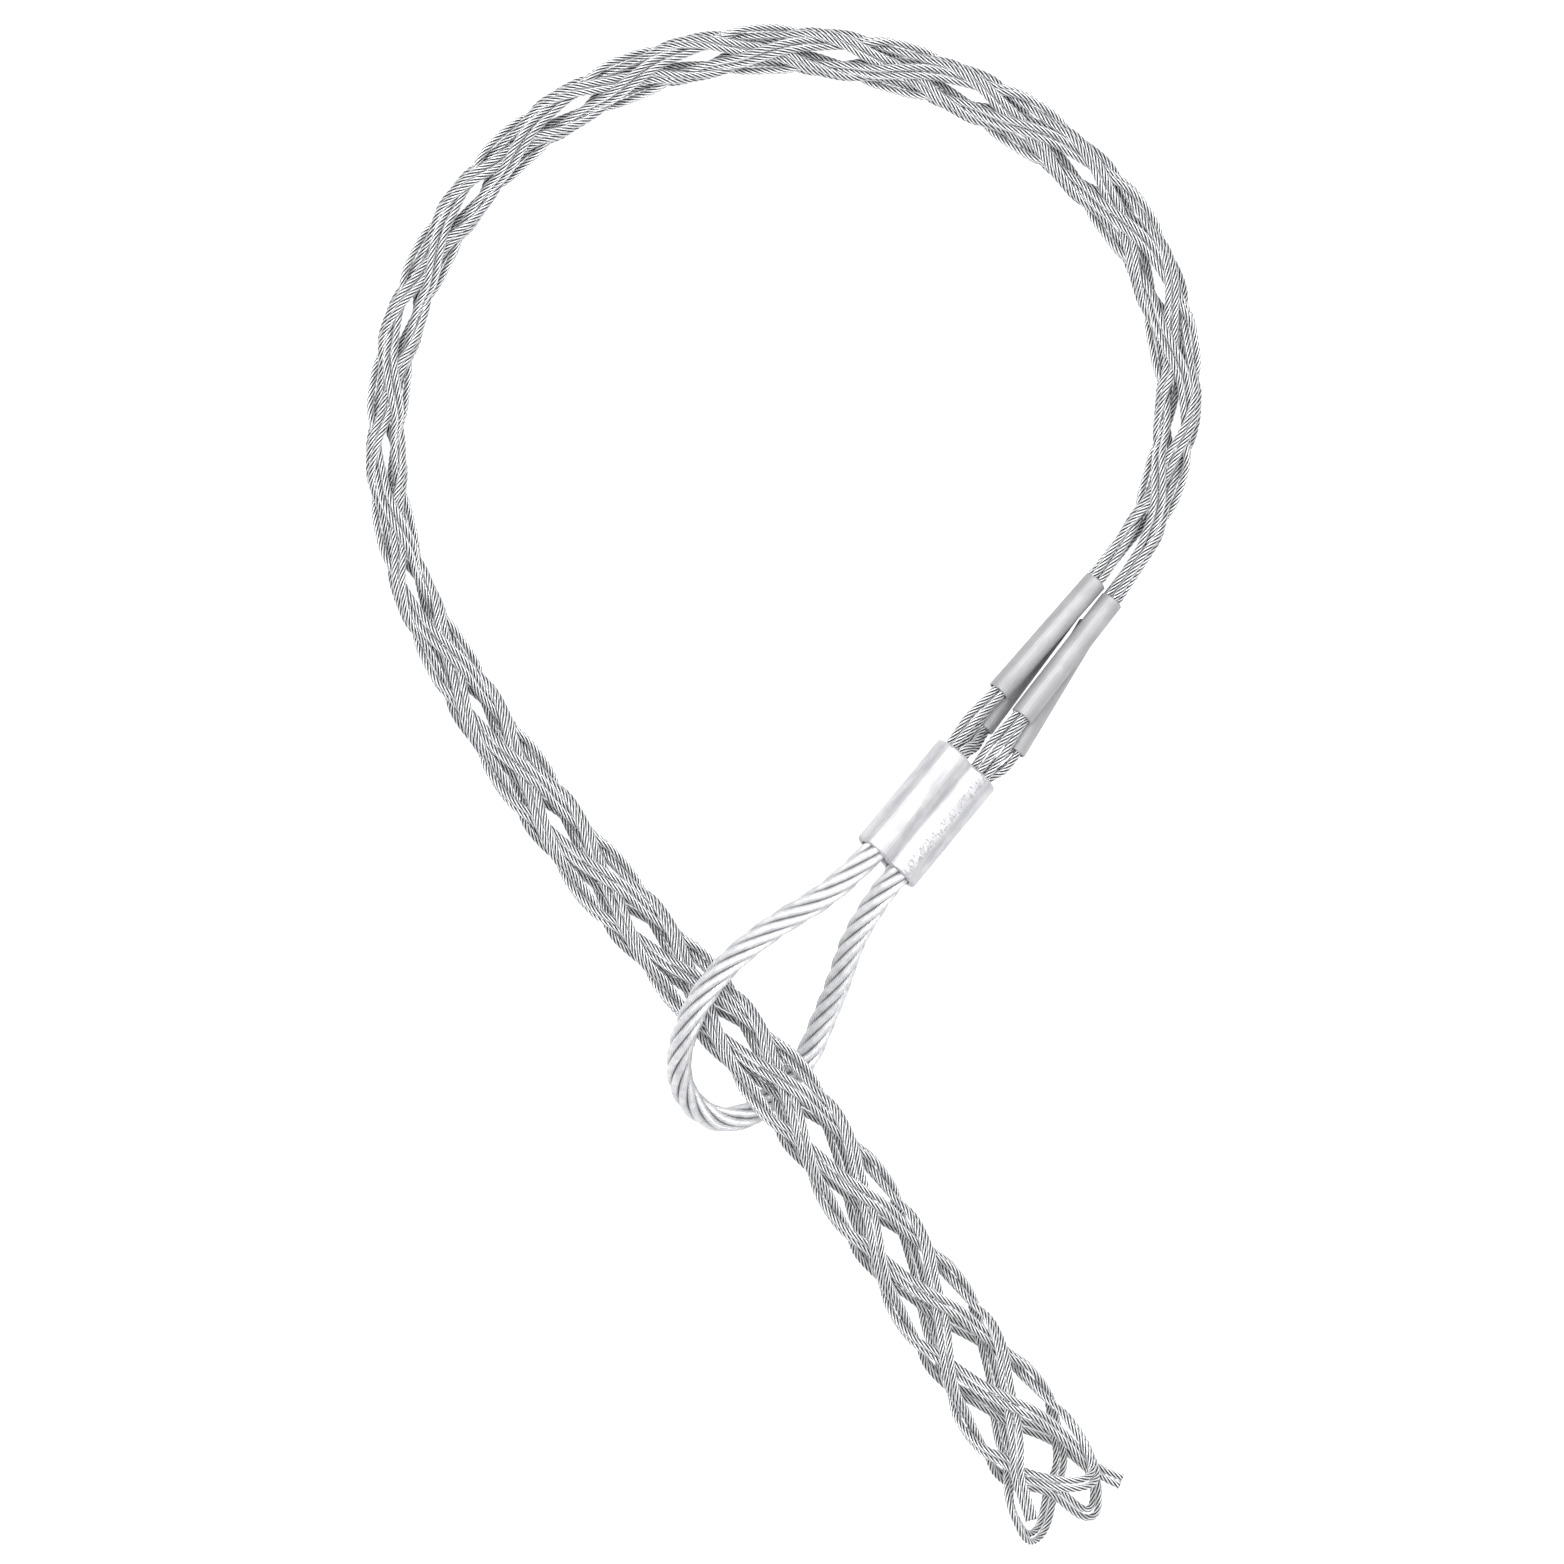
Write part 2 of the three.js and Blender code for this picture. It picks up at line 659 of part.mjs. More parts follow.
// Which pairs meet at each turn, and how many crossings up the sock their weave starts
const turns = [
  {
    name: 'mesh_wire_top',
    down: { family: 1, index: 0, from: 0.25 },
    back: { family: -1, index: 1, from: 0.25 },
    turn: topTurn,
  },
  {
    name: 'mesh_wire_low',
    down: { family: 1, index: 2, from: -0.25 },
    back: { family: 1, index: 3, from: 0.25 },
    turn: lowTurn,
  },
  {
    name: 'mesh_wire_side',
    down: { family: -1, index: 3, from: -0.25 },
    back: { family: -1, index: 2, from: -0.25 },
    turn: sideTurn,
  },
];
for (const { name, down, back, turn } of turns) {
  addPiece(`${name}_outer`, turnedWire(1, down, back, turn), galvanised);
  addPiece(`${name}_inner`, turnedWire(-1, down, back, turn), galvanised);
}

const tails = [
  { name: 'mesh_wire_cut_side', pair: { family: 1, index: 1, from: -0.25 }, tail: sideTail },
  { name: 'mesh_wire_cut_top', pair: { family: -1, index: 0, from: 0.25 }, tail: topTail },
];
for (const { name, pair, tail } of tails) {
  addPiece(`${name}_1`, tailedWire(1, pair, tail), galvanised);
  addPiece(`${name}_2`, tailedWire(-1, pair, tail), galvanised);
}

// The origin is on the ground under the middle of the grip
const box = new THREE.Box3().setFromObject(grip);
const middle = box.getCenter(new THREE.Vector3());
grip.position.set(-middle.x, -middle.y, -box.min.z);

export default grip;
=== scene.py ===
"""A cable pulling grip on a pale studio floor.

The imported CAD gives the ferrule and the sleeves. Every rope is laid here again with its strands,
along the same lines as the CAD's ropes: the pairs of wires that weave the sock, their turns and
cut tails at its mouth, their run through the sleeves into the ferrule, and the rope eye.
Lengths are in millimetres until a mesh is made, and the frame's are in metres.
"""

import logging
import math
from dataclasses import dataclass, field
from enum import Enum

import bpy
import numpy as np
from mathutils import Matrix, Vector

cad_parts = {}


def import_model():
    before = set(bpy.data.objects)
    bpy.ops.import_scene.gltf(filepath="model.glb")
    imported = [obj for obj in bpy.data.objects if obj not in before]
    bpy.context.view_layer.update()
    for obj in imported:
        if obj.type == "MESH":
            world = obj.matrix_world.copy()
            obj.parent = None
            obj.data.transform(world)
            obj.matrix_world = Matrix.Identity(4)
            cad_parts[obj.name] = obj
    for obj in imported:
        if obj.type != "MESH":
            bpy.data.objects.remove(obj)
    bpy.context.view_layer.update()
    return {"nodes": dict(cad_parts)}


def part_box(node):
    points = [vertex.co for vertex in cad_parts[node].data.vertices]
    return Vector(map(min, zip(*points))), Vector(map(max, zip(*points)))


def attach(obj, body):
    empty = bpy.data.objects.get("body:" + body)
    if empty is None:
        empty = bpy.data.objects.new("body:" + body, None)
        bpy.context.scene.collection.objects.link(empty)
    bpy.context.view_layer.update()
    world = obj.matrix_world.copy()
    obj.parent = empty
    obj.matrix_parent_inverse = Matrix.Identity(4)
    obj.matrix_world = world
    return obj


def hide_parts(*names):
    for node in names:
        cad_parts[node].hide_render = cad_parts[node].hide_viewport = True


LOG = logging.getLogger("cable_grip")
MM = 0.001
ROOT = "root"

# Sock: the same driving sizes as the CAD's
MESH_WIRE = 1.5
WIRE_ROOM = 0.12
PAIRS_EACH_WAY = 4
PITCH = MESH_WIRE + WIRE_ROOM
STEP = PITCH / 2
RUNS_IN_SOCK = 4 * PAIRS_EACH_WAY

# Sleeves, ferrule and eye
SLEEVE_WALL = 0.4
SLEEVE_LENGTH = 30.0
SLEEVE_ROOM = 0.07
SLEEVE_SPACING = 0.1
FERRULE_LENGTH = 26.0
SLOT_ROOM = 0.1
ENDS_APART = 1.0
EYE_ROPE = 5.2
GRIP_DEPTH = (FERRULE_LENGTH - ENDS_APART) / 2
RING_WIRES = 2 * PAIRS_EACH_WAY - 1
RING_RADIUS = (PITCH / 2 + SLOT_ROOM) / math.sin(math.pi / RING_WIRES)
SLEEVE_BORE = 2 * (math.sqrt(2) * (STEP + MESH_WIRE * math.sqrt(0.5) / 2) + SLEEVE_ROOM)
SLEEVE_PITCH = SLEEVE_BORE + 2 * SLEEVE_WALL + SLEEVE_SPACING

# Route of the sock from its mouth: x, y, width seen from above, and how far it is held up
# where the eye rope passes under it
SOCK_ROUTE = (
    (55.7, -145.2, 20.8, 0.0),
    (50.9, -134.1, 21.0, 0.0),
    (43.9, -124.3, 19.8, 0.0),
    (30.3, -104.7, 17.2, 0.0),
    (16.8, -84.8, 15.4, 0.5),
    (3.2, -65.2, 14.4, 1.0),
    (-8.2, -51.4, 13.8, 0.7),
    (-20.2, -37.6, 13.2, 0.3),
    (-36.0, -19.6, 12.8, 0.0),
    (-50.6, -0.6, 12.0, 0.0),
    (-63.6, 19.4, 10.6, 0.0),
    (-74.6, 40.8, 8.6, 0.0),
    (-79.2, 64.2, 8.2, 0.0),
    (-76.8, 88.0, 8.4, 0.0),
    (-67.4, 109.8, 8.6, 0.0),
    (-52.2, 128.0, 9.0, 0.0),
    (-31.6, 140.4, 9.6, 0.0),
    (-8.4, 146.2, 9.8, 0.0),
    (15.4, 144.6, 10.4, 0.0),
    (38.0, 137.2, 11.0, 0.0),
    (58.0, 123.8, 11.4, 0.0),
    (72.6, 105.0, 11.0, 0.0),
    (78.6, 82.0, 9.8, 0.0),
    (77.0, 65.0, 9.0, 0.0),
    (72.0, 51.0, 8.2, 0.0),
    (64.0, 38.7, 8.2, 0.0),
)
BUNDLE_TOP = (64.0, 38.7, 8.0)
BUNDLE_HEADING = (-0.66, -0.75)
FERRULE_START = (36.4, 3.8, 16.5)
FERRULE_HEADING = (-0.64, -0.77)

# Route of the eye rope between the two bores of the ferrule
EYE_ROUTE = (
    (8.6, -21.8, 23.4),
    (-2.0, -28.5, 22.7),
    (-10.6, -35.4, 21.3),
    (-16.5, -42.7, 19.6),
    (-19.5, -49.3, 17.0),
    (-20.8, -54.6, 13.1),
    (-20.4, -59.9, 8.8),
    (-17.8, -64.3, 5.2),
    (-13.0, -67.2, 3.1),
    (-8.7, -66.7, 2.6),
    (-5.9, -65.8, 2.6),
    (-2.6, -62.6, 2.6),
    (1.3, -58.6, 2.6),
    (4.8, -54.4, 3.0),
    (7.6, -47.9, 5.8),
    (10.9, -39.7, 10.8),
    (13.9, -31.1, 16.0),
    (18.6, -23.0, 19.9),
)

# The pairs at the mouth: distance from the mouth, degrees round from the top, distance out of
# the weave's middle in half wire pitches, and the degrees that a loose pair's flat side faces
TOP_TURN = (
    (11.4, -36, -1),
    (8.8, -16, -1),
    (7.0, 2, -0.7),
    (5.6, 18, -0.3),
    (4.7, 34, 0.3),
    (4.5, 49, 0.8),
    (5.2, 62, 1),
    (7.0, 69, 1),
    (9.6, 70, 1),
    (12.0, 70, 1),
)
LOW_TURN = (
    (6.4, 171, 0.5),
    (4.6, 182, 1),
    (1.6, 194, 1),
    (-0.9, 206, 1),
    (-2.3, 219, 1),
    (-2.6, 233, 1),
    (-1.6, 247, 0.8),
    (1.4, 258, 0.6),
    (5.0, 262, 0.4),
    (8.6, 252, -0.3),
    (11.8, 236.5, -1),
)
SIDE_TURN = (
    (7.2, 207, 0),
    (5.6, 192, -1),
    (3.6, 178, -1),
    (1.0, 168, -1),
    (-1.4, 159, -1),
    (-2.8, 149, -0.7),
    (-2.6, 138, -0.3),
    (-0.6, 129, 0.2),
    (1.6, 123, 0.6),
    (4.0, 121, 1),
    (6.2, 125, 1),
)
TOP_TAIL = (
    (11.2, -34, 1),
    (6.6, -38, 1),
    (1.6, -40, 1),
)
SIDE_TAIL = (
    (6.4, 86, -0.2, 66),
    (4.6, 94, 1.4, 44),
    (3.0, 97, 3.2, 24),
    (1.2, 98, 5.2, 12),
)


class Slot(Enum):
    """The record's material slot names; no piece here is given one."""

    MESH_WIRE = "mesh_wire"
    EYE_ROPE = "eye_rope"


def unit(vectors: np.ndarray) -> np.ndarray:
    """Scales vectors to length one.

    Args:
        vectors: One vector, or several as rows.

    Returns:
        The vectors in the same shape.
    """
    return vectors / np.maximum(np.linalg.norm(vectors, axis=-1, keepdims=True), 1e-12)


def smooth_curve(points: np.ndarray, at: np.ndarray) -> np.ndarray:
    """Follows a uniform Catmull-Rom curve through points.

    Args:
        points: The points, as rows.
        at: Places on the curve, from 0 at the first point to 1 at the last.

    Returns:
        One point for each place, as rows.
    """
    padded = np.vstack([2 * points[0] - points[1], points, 2 * points[-1] - points[-2]])
    place = np.clip(at, 0, 1) * (len(points) - 1)
    first = np.minimum(place.astype(int), len(points) - 2)
    t = (place - first)[:, None]
    a, b, c, d = (padded[first + i] for i in range(4))
    return b + t * ((c - a) / 2 + t * (a - 2.5 * b + 2 * c - d / 2 + t * (1.5 * (b - c) + (d - a) / 2)))


def along(points: np.ndarray) -> np.ndarray:
    """Measures how far each point of a line is from its start.

    Args:
        points: The line's points, as rows.

    Returns:
        One distance for each point.
    """
    return np.concatenate([[0.0], np.cumsum(np.linalg.norm(np.diff(points, axis=0), axis=1))])


def even_line(points: np.ndarray, spacing: float, soften: float) -> np.ndarray:
    """Spreads points evenly along a line and takes the corners off it.

    Args:
        points: The line's points, as rows.
        spacing: About how far apart the new points lie.
        soften: Length over which the line is smoothed. The ends stay in place.

    Returns:
        The new points, as rows.
    """
    run = along(points)
    count = max(int(round(run[-1] / spacing)), 8)
    at = np.linspace(0, run[-1], count + 1)
    line = np.column_stack([np.interp(at, run, points[:, i]) for i in range(3)])
    width = soften / (run[-1] / count)
    reach = int(math.ceil(3 * width))
    if reach < 1:
        return line
    weights = np.exp(-0.5 * (np.arange(-reach, reach + 1) / width) ** 2)
    weights /= weights.sum()
    before = 2 * line[0] - line[1 : reach + 1][::-1]
    after = 2 * line[-1] - line[-reach - 1 : -1][::-1]
    longer = np.vstack([before, line, after])
    return np.column_stack([np.convolve(longer[:, i], weights, "valid") for i in range(3)])


def carried_frames(line: np.ndarray) -> tuple[np.ndarray, np.ndarray, np.ndarray]:
    """Carries two directions across a line from its start to its end without twist.

    Args:
        line: The line's points, as rows.

    Returns:
        Tangents and the two directions across them, as rows.
    """
    tangents = unit(np.gradient(line, axis=0))
    start = np.array([0.0, 0.0, 1.0]) if abs(tangents[0][2]) < 0.9 else np.array([1.0, 0.0, 0.0])
    first = np.empty_like(line)
    carried = start
    for i, tangent in enumerate(tangents):
        carried = carried - tangent * float(carried @ tangent)
        carried = carried / math.sqrt(float(carried @ carried))
        first[i] = carried
    return tangents, first, np.cross(tangents, first)


@dataclass(frozen=True)
class StraightFrame:
    """Directions of a straight run: along it, to its side and up across it."""

    along: np.ndarray
    side: np.ndarray
    up: np.ndarray

    @classmethod
    def heading(cls, flat: tuple[float, float], tilt: float) -> "StraightFrame":
        """Makes the directions of a run.

        Args:
            flat: The run's heading seen from above.
            tilt: Degrees that it rises.

        Returns:
            The run's directions.
        """
        rise = math.radians(tilt)
        plan = unit(np.array(flat))
        forward = np.array([plan[0] * math.cos(rise), plan[1] * math.cos(rise), math.sin(rise)])
        side = unit(np.array([forward[1], -forward[0], 0.0]))
        return cls(forward, side, np.cross(side, forward))


@dataclass
class Sock:
    """The woven sock: its middle line, its section and where each pair of wires runs on it."""

    weave_run: float = 14.2
    first_crossing: float = 11.6
    lead_in: float = 10.5
    crossing_turn: float = -33.0
    crowding: float = 1.09
    pass_room: float = 0.3

    def __post_init__(self) -> None:
        """Works out the middle line and the crossings from the route."""
        route = np.array(SOCK_ROUTE)
        self.closest = self.crowding * RUNS_IN_SOCK * PITCH / (2 * math.pi)
        half, straight = self._section(route[:, 2])
        height = half + straight + MESH_WIRE + route[:, 3] * (EYE_ROPE + self.pass_room)
        self._points = np.column_stack([route[:, :2], height])
        self._widths = route[:, 2:3]
        self._t = np.linspace(0, 1, 6001)
        self._line = smooth_curve(self._points, self._t)
        self._run = along(self._line)
        self.length = float(self._run[-1])
        self._tangents = unit(np.gradient(self._line, axis=0))
        self.crossings = self._place_crossings()
        self.last = len(self.crossings) - 1

    def _section(self, width: np.ndarray) -> tuple[np.ndarray, np.ndarray]:
        """Half width and straight half height of the section at a width seen from above."""
        half = np.asarray(width) / 2 - MESH_WIRE
        return half, np.maximum(0, math.pi / 2 * (self.closest - half))

    def at(self, distance: np.ndarray) -> tuple[np.ndarray, ...]:
        """Finds the sock's middle, directions and section.

        Args:
            distance: Distances from the mouth.

        Returns:
            Middles, tangents, side and up directions as rows, half widths and straight parts.
        """
        inside = np.clip(distance, 0, self.length)
        t = np.interp(inside, self._run, self._t)
        tangent = unit(np.column_stack([np.interp(t, self._t, self._tangents[:, i]) for i in range(3)]))
        middle = smooth_curve(self._points, t) + tangent * (distance - inside)[:, None]
        side = unit(np.column_stack([tangent[:, 1], -tangent[:, 0], np.zeros(len(t))]))
        up = np.cross(side, tangent)
        half, straight = self._section(smooth_curve(self._widths, t)[:, 0])
        return middle, tangent, side, up, half, straight

    def around(self, distance: float) -> float:
        """Length once round the sock's middle surface at a distance from the mouth."""
        *_, half, straight = self.at(np.array([distance]))
        return float(2 * math.pi * half[0] + 4 * straight[0])

    def place(
        self, distance: np.ndarray, share: np.ndarray, out: np.ndarray
    ) -> tuple[np.ndarray, np.ndarray]:
        """Finds places on the sock.

        Args:
            distance: Distances from the mouth.
            share: Shares of the way round from the top.
            out: Distances out of the weave's middle.

        Returns:
            The places, and the directions that face out of the sock there, as rows.
        """
        middle, _, side, up, half, straight = self.at(distance)
        girth = 2 * math.pi * half + 4 * straight
        wrapped = (share - np.round(share)) * girth
        sign = np.where(wrapped < 0, -1.0, 1.0)
        reach = np.abs(wrapped)
        quarter = math.pi / 2 * half
        angle = np.where(
            reach > quarter + 2 * straight,
            (reach - 2 * straight) / half,
            np.where(reach > quarter, math.pi / 2, reach / half),
        )
        height = np.where(
            reach > quarter + 2 * straight,
            -straight,
            np.where(reach > quarter, straight - (reach - quarter), straight),
        )
        outward = side * (sign * np.sin(angle))[:, None] + up * np.cos(angle)[:, None]
        return middle + up * height[:, None] + outward * (half + out)[:, None], outward

    def _place_crossings(self) -> list[float]:
        """Distances of the crossings from the mouth."""
        places = [self.first_crossing]
        while places[-1] < self.length - self.lead_in:
            turned = self.around(places[-1]) / (2 * PAIRS_EACH_WAY)
            places.append(places[-1] + math.sqrt(self.weave_run**2 - turned**2))
        while places[-1] > self.length - self.lead_in or len(places) % 2 == 0:
            places.pop()
        return places

    def _distance_at(self, count: np.ndarray) -> np.ndarray:
        """Distance from the mouth at counts of crossings that need not be whole."""
        whole = np.clip(np.floor(count), 0, self.last - 1).astype(int)
        marks = np.array(self.crossings)
        return marks[whole] + (count - whole) * (marks[whole + 1] - marks[whole])

    def weave(self, family: int, index: int, start: float) -> tuple[np.ndarray, np.ndarray]:
        """Follows one pair over and under the others, from the mouth to the last crossing.

        Args:
            family: 1 for the pairs that wind one way and -1 for the others.
            index: Which pair of its family.
            start: How many crossings up the sock the line starts.

        Returns:
            The pair's middle line and the directions that face out of the sock.
        """
        count = np.linspace(start, self.last, int((self.last - start) * 8) + 1)
        wave = -family * np.cos(math.pi * count)
        over = wave * (1.875 - 1.25 * wave**2 + 0.375 * wave**4)
        share = self.share(family, index, count)
        return self.place(self._distance_at(count), share, over * STEP)

    def share(self, family: int, index: int, progress: np.ndarray | float) -> np.ndarray | float:
        """Share of the way round from the top where a pair is after some crossings."""
        turned = family * progress / (2 * PAIRS_EACH_WAY)
        return self.crossing_turn / 360 + index / PAIRS_EACH_WAY - turned

    def mouth(self, places: tuple[tuple[float, ...], ...]) -> tuple[np.ndarray, np.ndarray]:
        """Turns listed places at the mouth into a line.

        Args:
            places: Distance, degrees, half pitches out and, for a loose pair, facing degrees.

        Returns:
            The line and the directions that its flat side faces.
        """
        rows = np.array([(*place, place[1])[:4] for place in places], dtype=float)
        points, _ = self.place(rows[:, 0], rows[:, 1] / 360, rows[:, 2] * STEP)
        _, facing = self.place(rows[:, 0], rows[:, 3] / 360, np.zeros(len(rows)))
        return points, facing


@dataclass(frozen=True)
class SleeveSeat:
    """Where a sleeve lies: to the side of the bundle's middle, above it and down it."""

    name: str
    side: tuple[float, float]
    up: float
    ahead: float
    barrel: int


SEATS = (
    SleeveSeat("sleeve_upper_left", (2.5, 2.5), SLEEVE_PITCH / 2, 0.4, 1),
    SleeveSeat("sleeve_upper_right", (-2.5, -4.2), SLEEVE_PITCH / 2, 1.2, -1),
    SleeveSeat("sleeve_lower_right", (-2.5, -7.8), -SLEEVE_PITCH / 2, 6.9, -1),
    SleeveSeat("sleeve_lower_left", (2.5, 0.1), -SLEEVE_PITCH / 2, 7.2, 1),
)


@dataclass
class WireRun:
    """One wire between the last crossing and the ferrule."""

    seat: SleeveSeat
    across: float
    rise: float
    slot: tuple[float, float] = (0.0, 0.0)
    stand: tuple[float, float] = (0.0, 0.0)


@dataclass
class Gathering:
    """The sleeves and the ferrule that gather the sock's wires."""

    sock: Sock
    bundle_tilt: float = 11.0
    ferrule_tilt: float = 13.0
    ferrule_roll: float = 20.0
    barrel_spacing: float = 7.0
    run_spread: float = 0.8

    def __post_init__(self) -> None:
        """Gives every wire its sleeve and its place in the ferrule."""
        self.bundle = StraightFrame.heading(BUNDLE_HEADING, self.bundle_tilt)
        self.ferrule = StraightFrame.heading(FERRULE_HEADING, self.ferrule_tilt)
        self.runs = self._list_runs(self.sock)
        for barrel in (1, -1):
            self._set_slots(barrel)

    def sleeve_point(self, seat: SleeveSeat, distance: float) -> np.ndarray:
        """A point on a sleeve's axis, some way from its start."""
        side = seat.side[0] + (seat.side[1] - seat.side[0]) * distance / SLEEVE_LENGTH
        point = np.array(BUNDLE_TOP) + self.bundle.side * side + self.bundle.up * seat.up
        return point + self.bundle.along * (seat.ahead + distance)

    def barrel_point(self, barrel: int, depth: float) -> np.ndarray:
        """A point on a barrel's axis, some way from the ferrule's wire end."""
        roll = math.radians(self.ferrule_roll)
        across = self.ferrule.side * math.cos(roll) + self.ferrule.up * math.sin(roll)
        off = across * barrel * self.barrel_spacing / 2
        return np.array(FERRULE_START) + self.ferrule.along * depth + off

    def _list_runs(self, sock: Sock) -> dict[tuple[int, int, int], WireRun]:
        """Every wire by its family, pair and side."""
        runs: dict[tuple[int, int, int], WireRun] = {}
        middle, _, side, up, _, _ = sock.at(np.array([sock.crossings[-1]]))
        for family in (1, -1):
            for index in range(PAIRS_EACH_WAY):
                share = np.array([sock.share(family, index, float(sock.last))])
                centre = sock.place(np.array([sock.crossings[-1]]), share, np.zeros(1))[0][0]
                offset = centre - middle[0]
                near = (np.sign(offset @ side[0]), np.sign(offset @ up[0]))
                seat = next(s for s in SEATS if (np.sign(s.side[0]), np.sign(s.up)) == near)
                line = sock.weave(family, index, sock.last - 1.0)
                for hand in (1, -1):
                    place = beside(*line, -hand)[-1] - centre
                    across, rise = float(place @ side[0]), float(place @ up[0])
                    runs[family, index, hand] = WireRun(seat, across, rise)
        return runs

    def _set_slots(self, barrel: int) -> None:
        """Keeps the nearest wire in the barrel's middle and rings the others round it."""
        mine = [run for run in self.runs.values() if run.seat.barrel == barrel]
        roll = math.radians(self.ferrule_roll)
        middle_side = sum(seat.side[1] for seat in SEATS) / len(SEATS)
        for run in mine:
            off = barrel * self.barrel_spacing / 2
            u = run.seat.side[1] - middle_side + run.across - off * math.cos(roll)
            w = run.seat.up + run.rise - off * math.sin(roll)
            run.stand = (u, w)
        mine.sort(key=lambda run: math.hypot(*run.stand))
        ring = mine[1:]
        mid_u = sum(run.stand[0] for run in ring) / RING_WIRES
        mid_w = sum(run.stand[1] for run in ring) / RING_WIRES
        ring.sort(key=lambda run: math.atan2(run.stand[0] - mid_u, run.stand[1] - mid_w))
        turn = 2 * math.pi / RING_WIRES
        first = sum(math.atan2(*run.stand) - i * turn for i, run in enumerate(ring)) / RING_WIRES
        for i, run in enumerate(ring):
            angle = first + i * turn
            run.slot = (math.sin(angle) * RING_RADIUS, math.cos(angle) * RING_RADIUS)

    def tail(self, family: int, index: int, hand: int) -> np.ndarray:
        """Follows one wire from the last crossing into its barrel.

        Args:
            family: 1 for the pairs that wind one way and -1 for the others.
            index: Which pair of its family.
            hand: Which wire of the pair.

        Returns:
            The wire's line, as rows.
        """
        run = self.runs[family, index, hand]

        def in_sleeve(distance: float) -> np.ndarray:
            point = self.sleeve_point(run.seat, distance)
            return point + self.bundle.side * run.across + self.bundle.up * run.rise

        def in_barrel(depth: float) -> np.ndarray:
            point = self.barrel_point(run.seat.barrel, depth)
            return point + self.ferrule.side * run.slot[0] + self.ferrule.up * run.slot[1]

        lip = MESH_WIRE
        leaving = in_sleeve(SLEEVE_LENGTH + lip / 2)
        entering = in_barrel(-lip)
        between = leaving + 0.6 * (entering - leaving)
        depth = float((between - np.array(FERRULE_START)) @ self.ferrule.along)
        away = unit(between - self.barrel_point(run.seat.barrel, depth))
        if math.hypot(*run.slot) > 0:
            between = between + away * self.run_spread
        return np.array([in_sleeve(-lip), leaving, between, entering, in_barrel(GRIP_DEPTH)])


def beside(points: np.ndarray, outward: np.ndarray, hand: int) -> np.ndarray:
    """Moves a pair's middle line to one of its two wires.

    Args:
        points: The pair's middle line.
        outward: Directions that the pair's flat side faces.
        hand: 1 for the wire to the left of the line and -1 for the other.

    Returns:
        The wire's line.
    """
    heading = np.gradient(points, axis=0)
    return points + unit(np.cross(outward, heading)) * hand * STEP


@dataclass(frozen=True)
class Lay:
    """How a rope is laid: its size, its strands' pitch and how finely they are drawn.

    The groove is the outline's least radius between strands, as a share of the greatest.
    """

    diameter: float
    pitch: float
    spacing: float
    strands: int = 6
    groove: float = 0.60
    points: int = 4

    def profile(self) -> tuple[np.ndarray, np.ndarray]:
        """The rope's outline across its axis.

        Returns:
            Angles and radii of the outline.
        """
        turn = np.linspace(0, 1, self.points, endpoint=False)
        crown = np.abs(2 * turn - 1)
        bulge = 1 - (1 - self.groove) * crown**2.2
        angles = 2 * math.pi * (np.arange(self.strands)[:, None] + turn) / self.strands
        return angles.ravel(), self.diameter / 2 * np.tile(bulge, self.strands)


@dataclass
class Tubes:
    """Closed tubes that become one mesh."""

    vertices: list[np.ndarray] = field(default_factory=list)
    faces: list[np.ndarray] = field(default_factory=list)
    caps: list[list[int]] = field(default_factory=list)
    crowns: list[np.ndarray] = field(default_factory=list)
    runs: list[np.ndarray] = field(default_factory=list)
    count: int = 0

    def add(self, rings: np.ndarray, crown: np.ndarray, run: np.ndarray) -> None:
        """Adds one tube.

        Args:
            rings: Points by ring and place round it.
            crown: How high each point stands out of the grooves, from 0 to 1. The steel's colour is
                darkened where it is low, as painted shade.
            run: How far along the rope each ring lies.
        """
        many, around, _ = rings.shape
        ring = np.arange(many - 1)[:, None] * around + self.count
        here = np.arange(around)[None, :]
        there = (here + 1) % around
        after = ring + around
        quads = np.stack([ring + here, ring + there, after + there, after + here], axis=-1)
        self.faces.append(quads.reshape(-1, 4))
        self.caps.append(list(range(self.count + around - 1, self.count - 1, -1)))
        last = self.count + (many - 1) * around
        self.caps.append(list(range(last, last + around)))
        self.vertices.append(rings.reshape(-1, 3))
        self.crowns.append(np.broadcast_to(crown, (many, around)).ravel())
        self.runs.append(np.repeat(run, around))
        self.count += many * around

    def to_object(self, name: str) -> bpy.types.Object:
        """Makes the mesh object, with its crown and run as attributes.

        Args:
            name: The object's name.

        Returns:
            The new object, in metres.
        """
        mesh = bpy.data.meshes.new(name)
        faces = [*np.concatenate(self.faces).tolist(), *self.caps]
        mesh.from_pydata((np.concatenate(self.vertices) * MM).tolist(), [], faces)
        for label, values in (("crown", self.crowns), ("run", self.runs)):
            layer = mesh.attributes.new(label, "FLOAT", "POINT")
            layer.data.foreach_set("value", np.concatenate(values).astype(np.float32))
        mesh.polygons.foreach_set("use_smooth", np.ones(len(mesh.polygons), dtype=bool))
        mesh.update()
        piece = bpy.data.objects.new(name, mesh)
        bpy.context.scene.collection.objects.link(piece)
        return piece


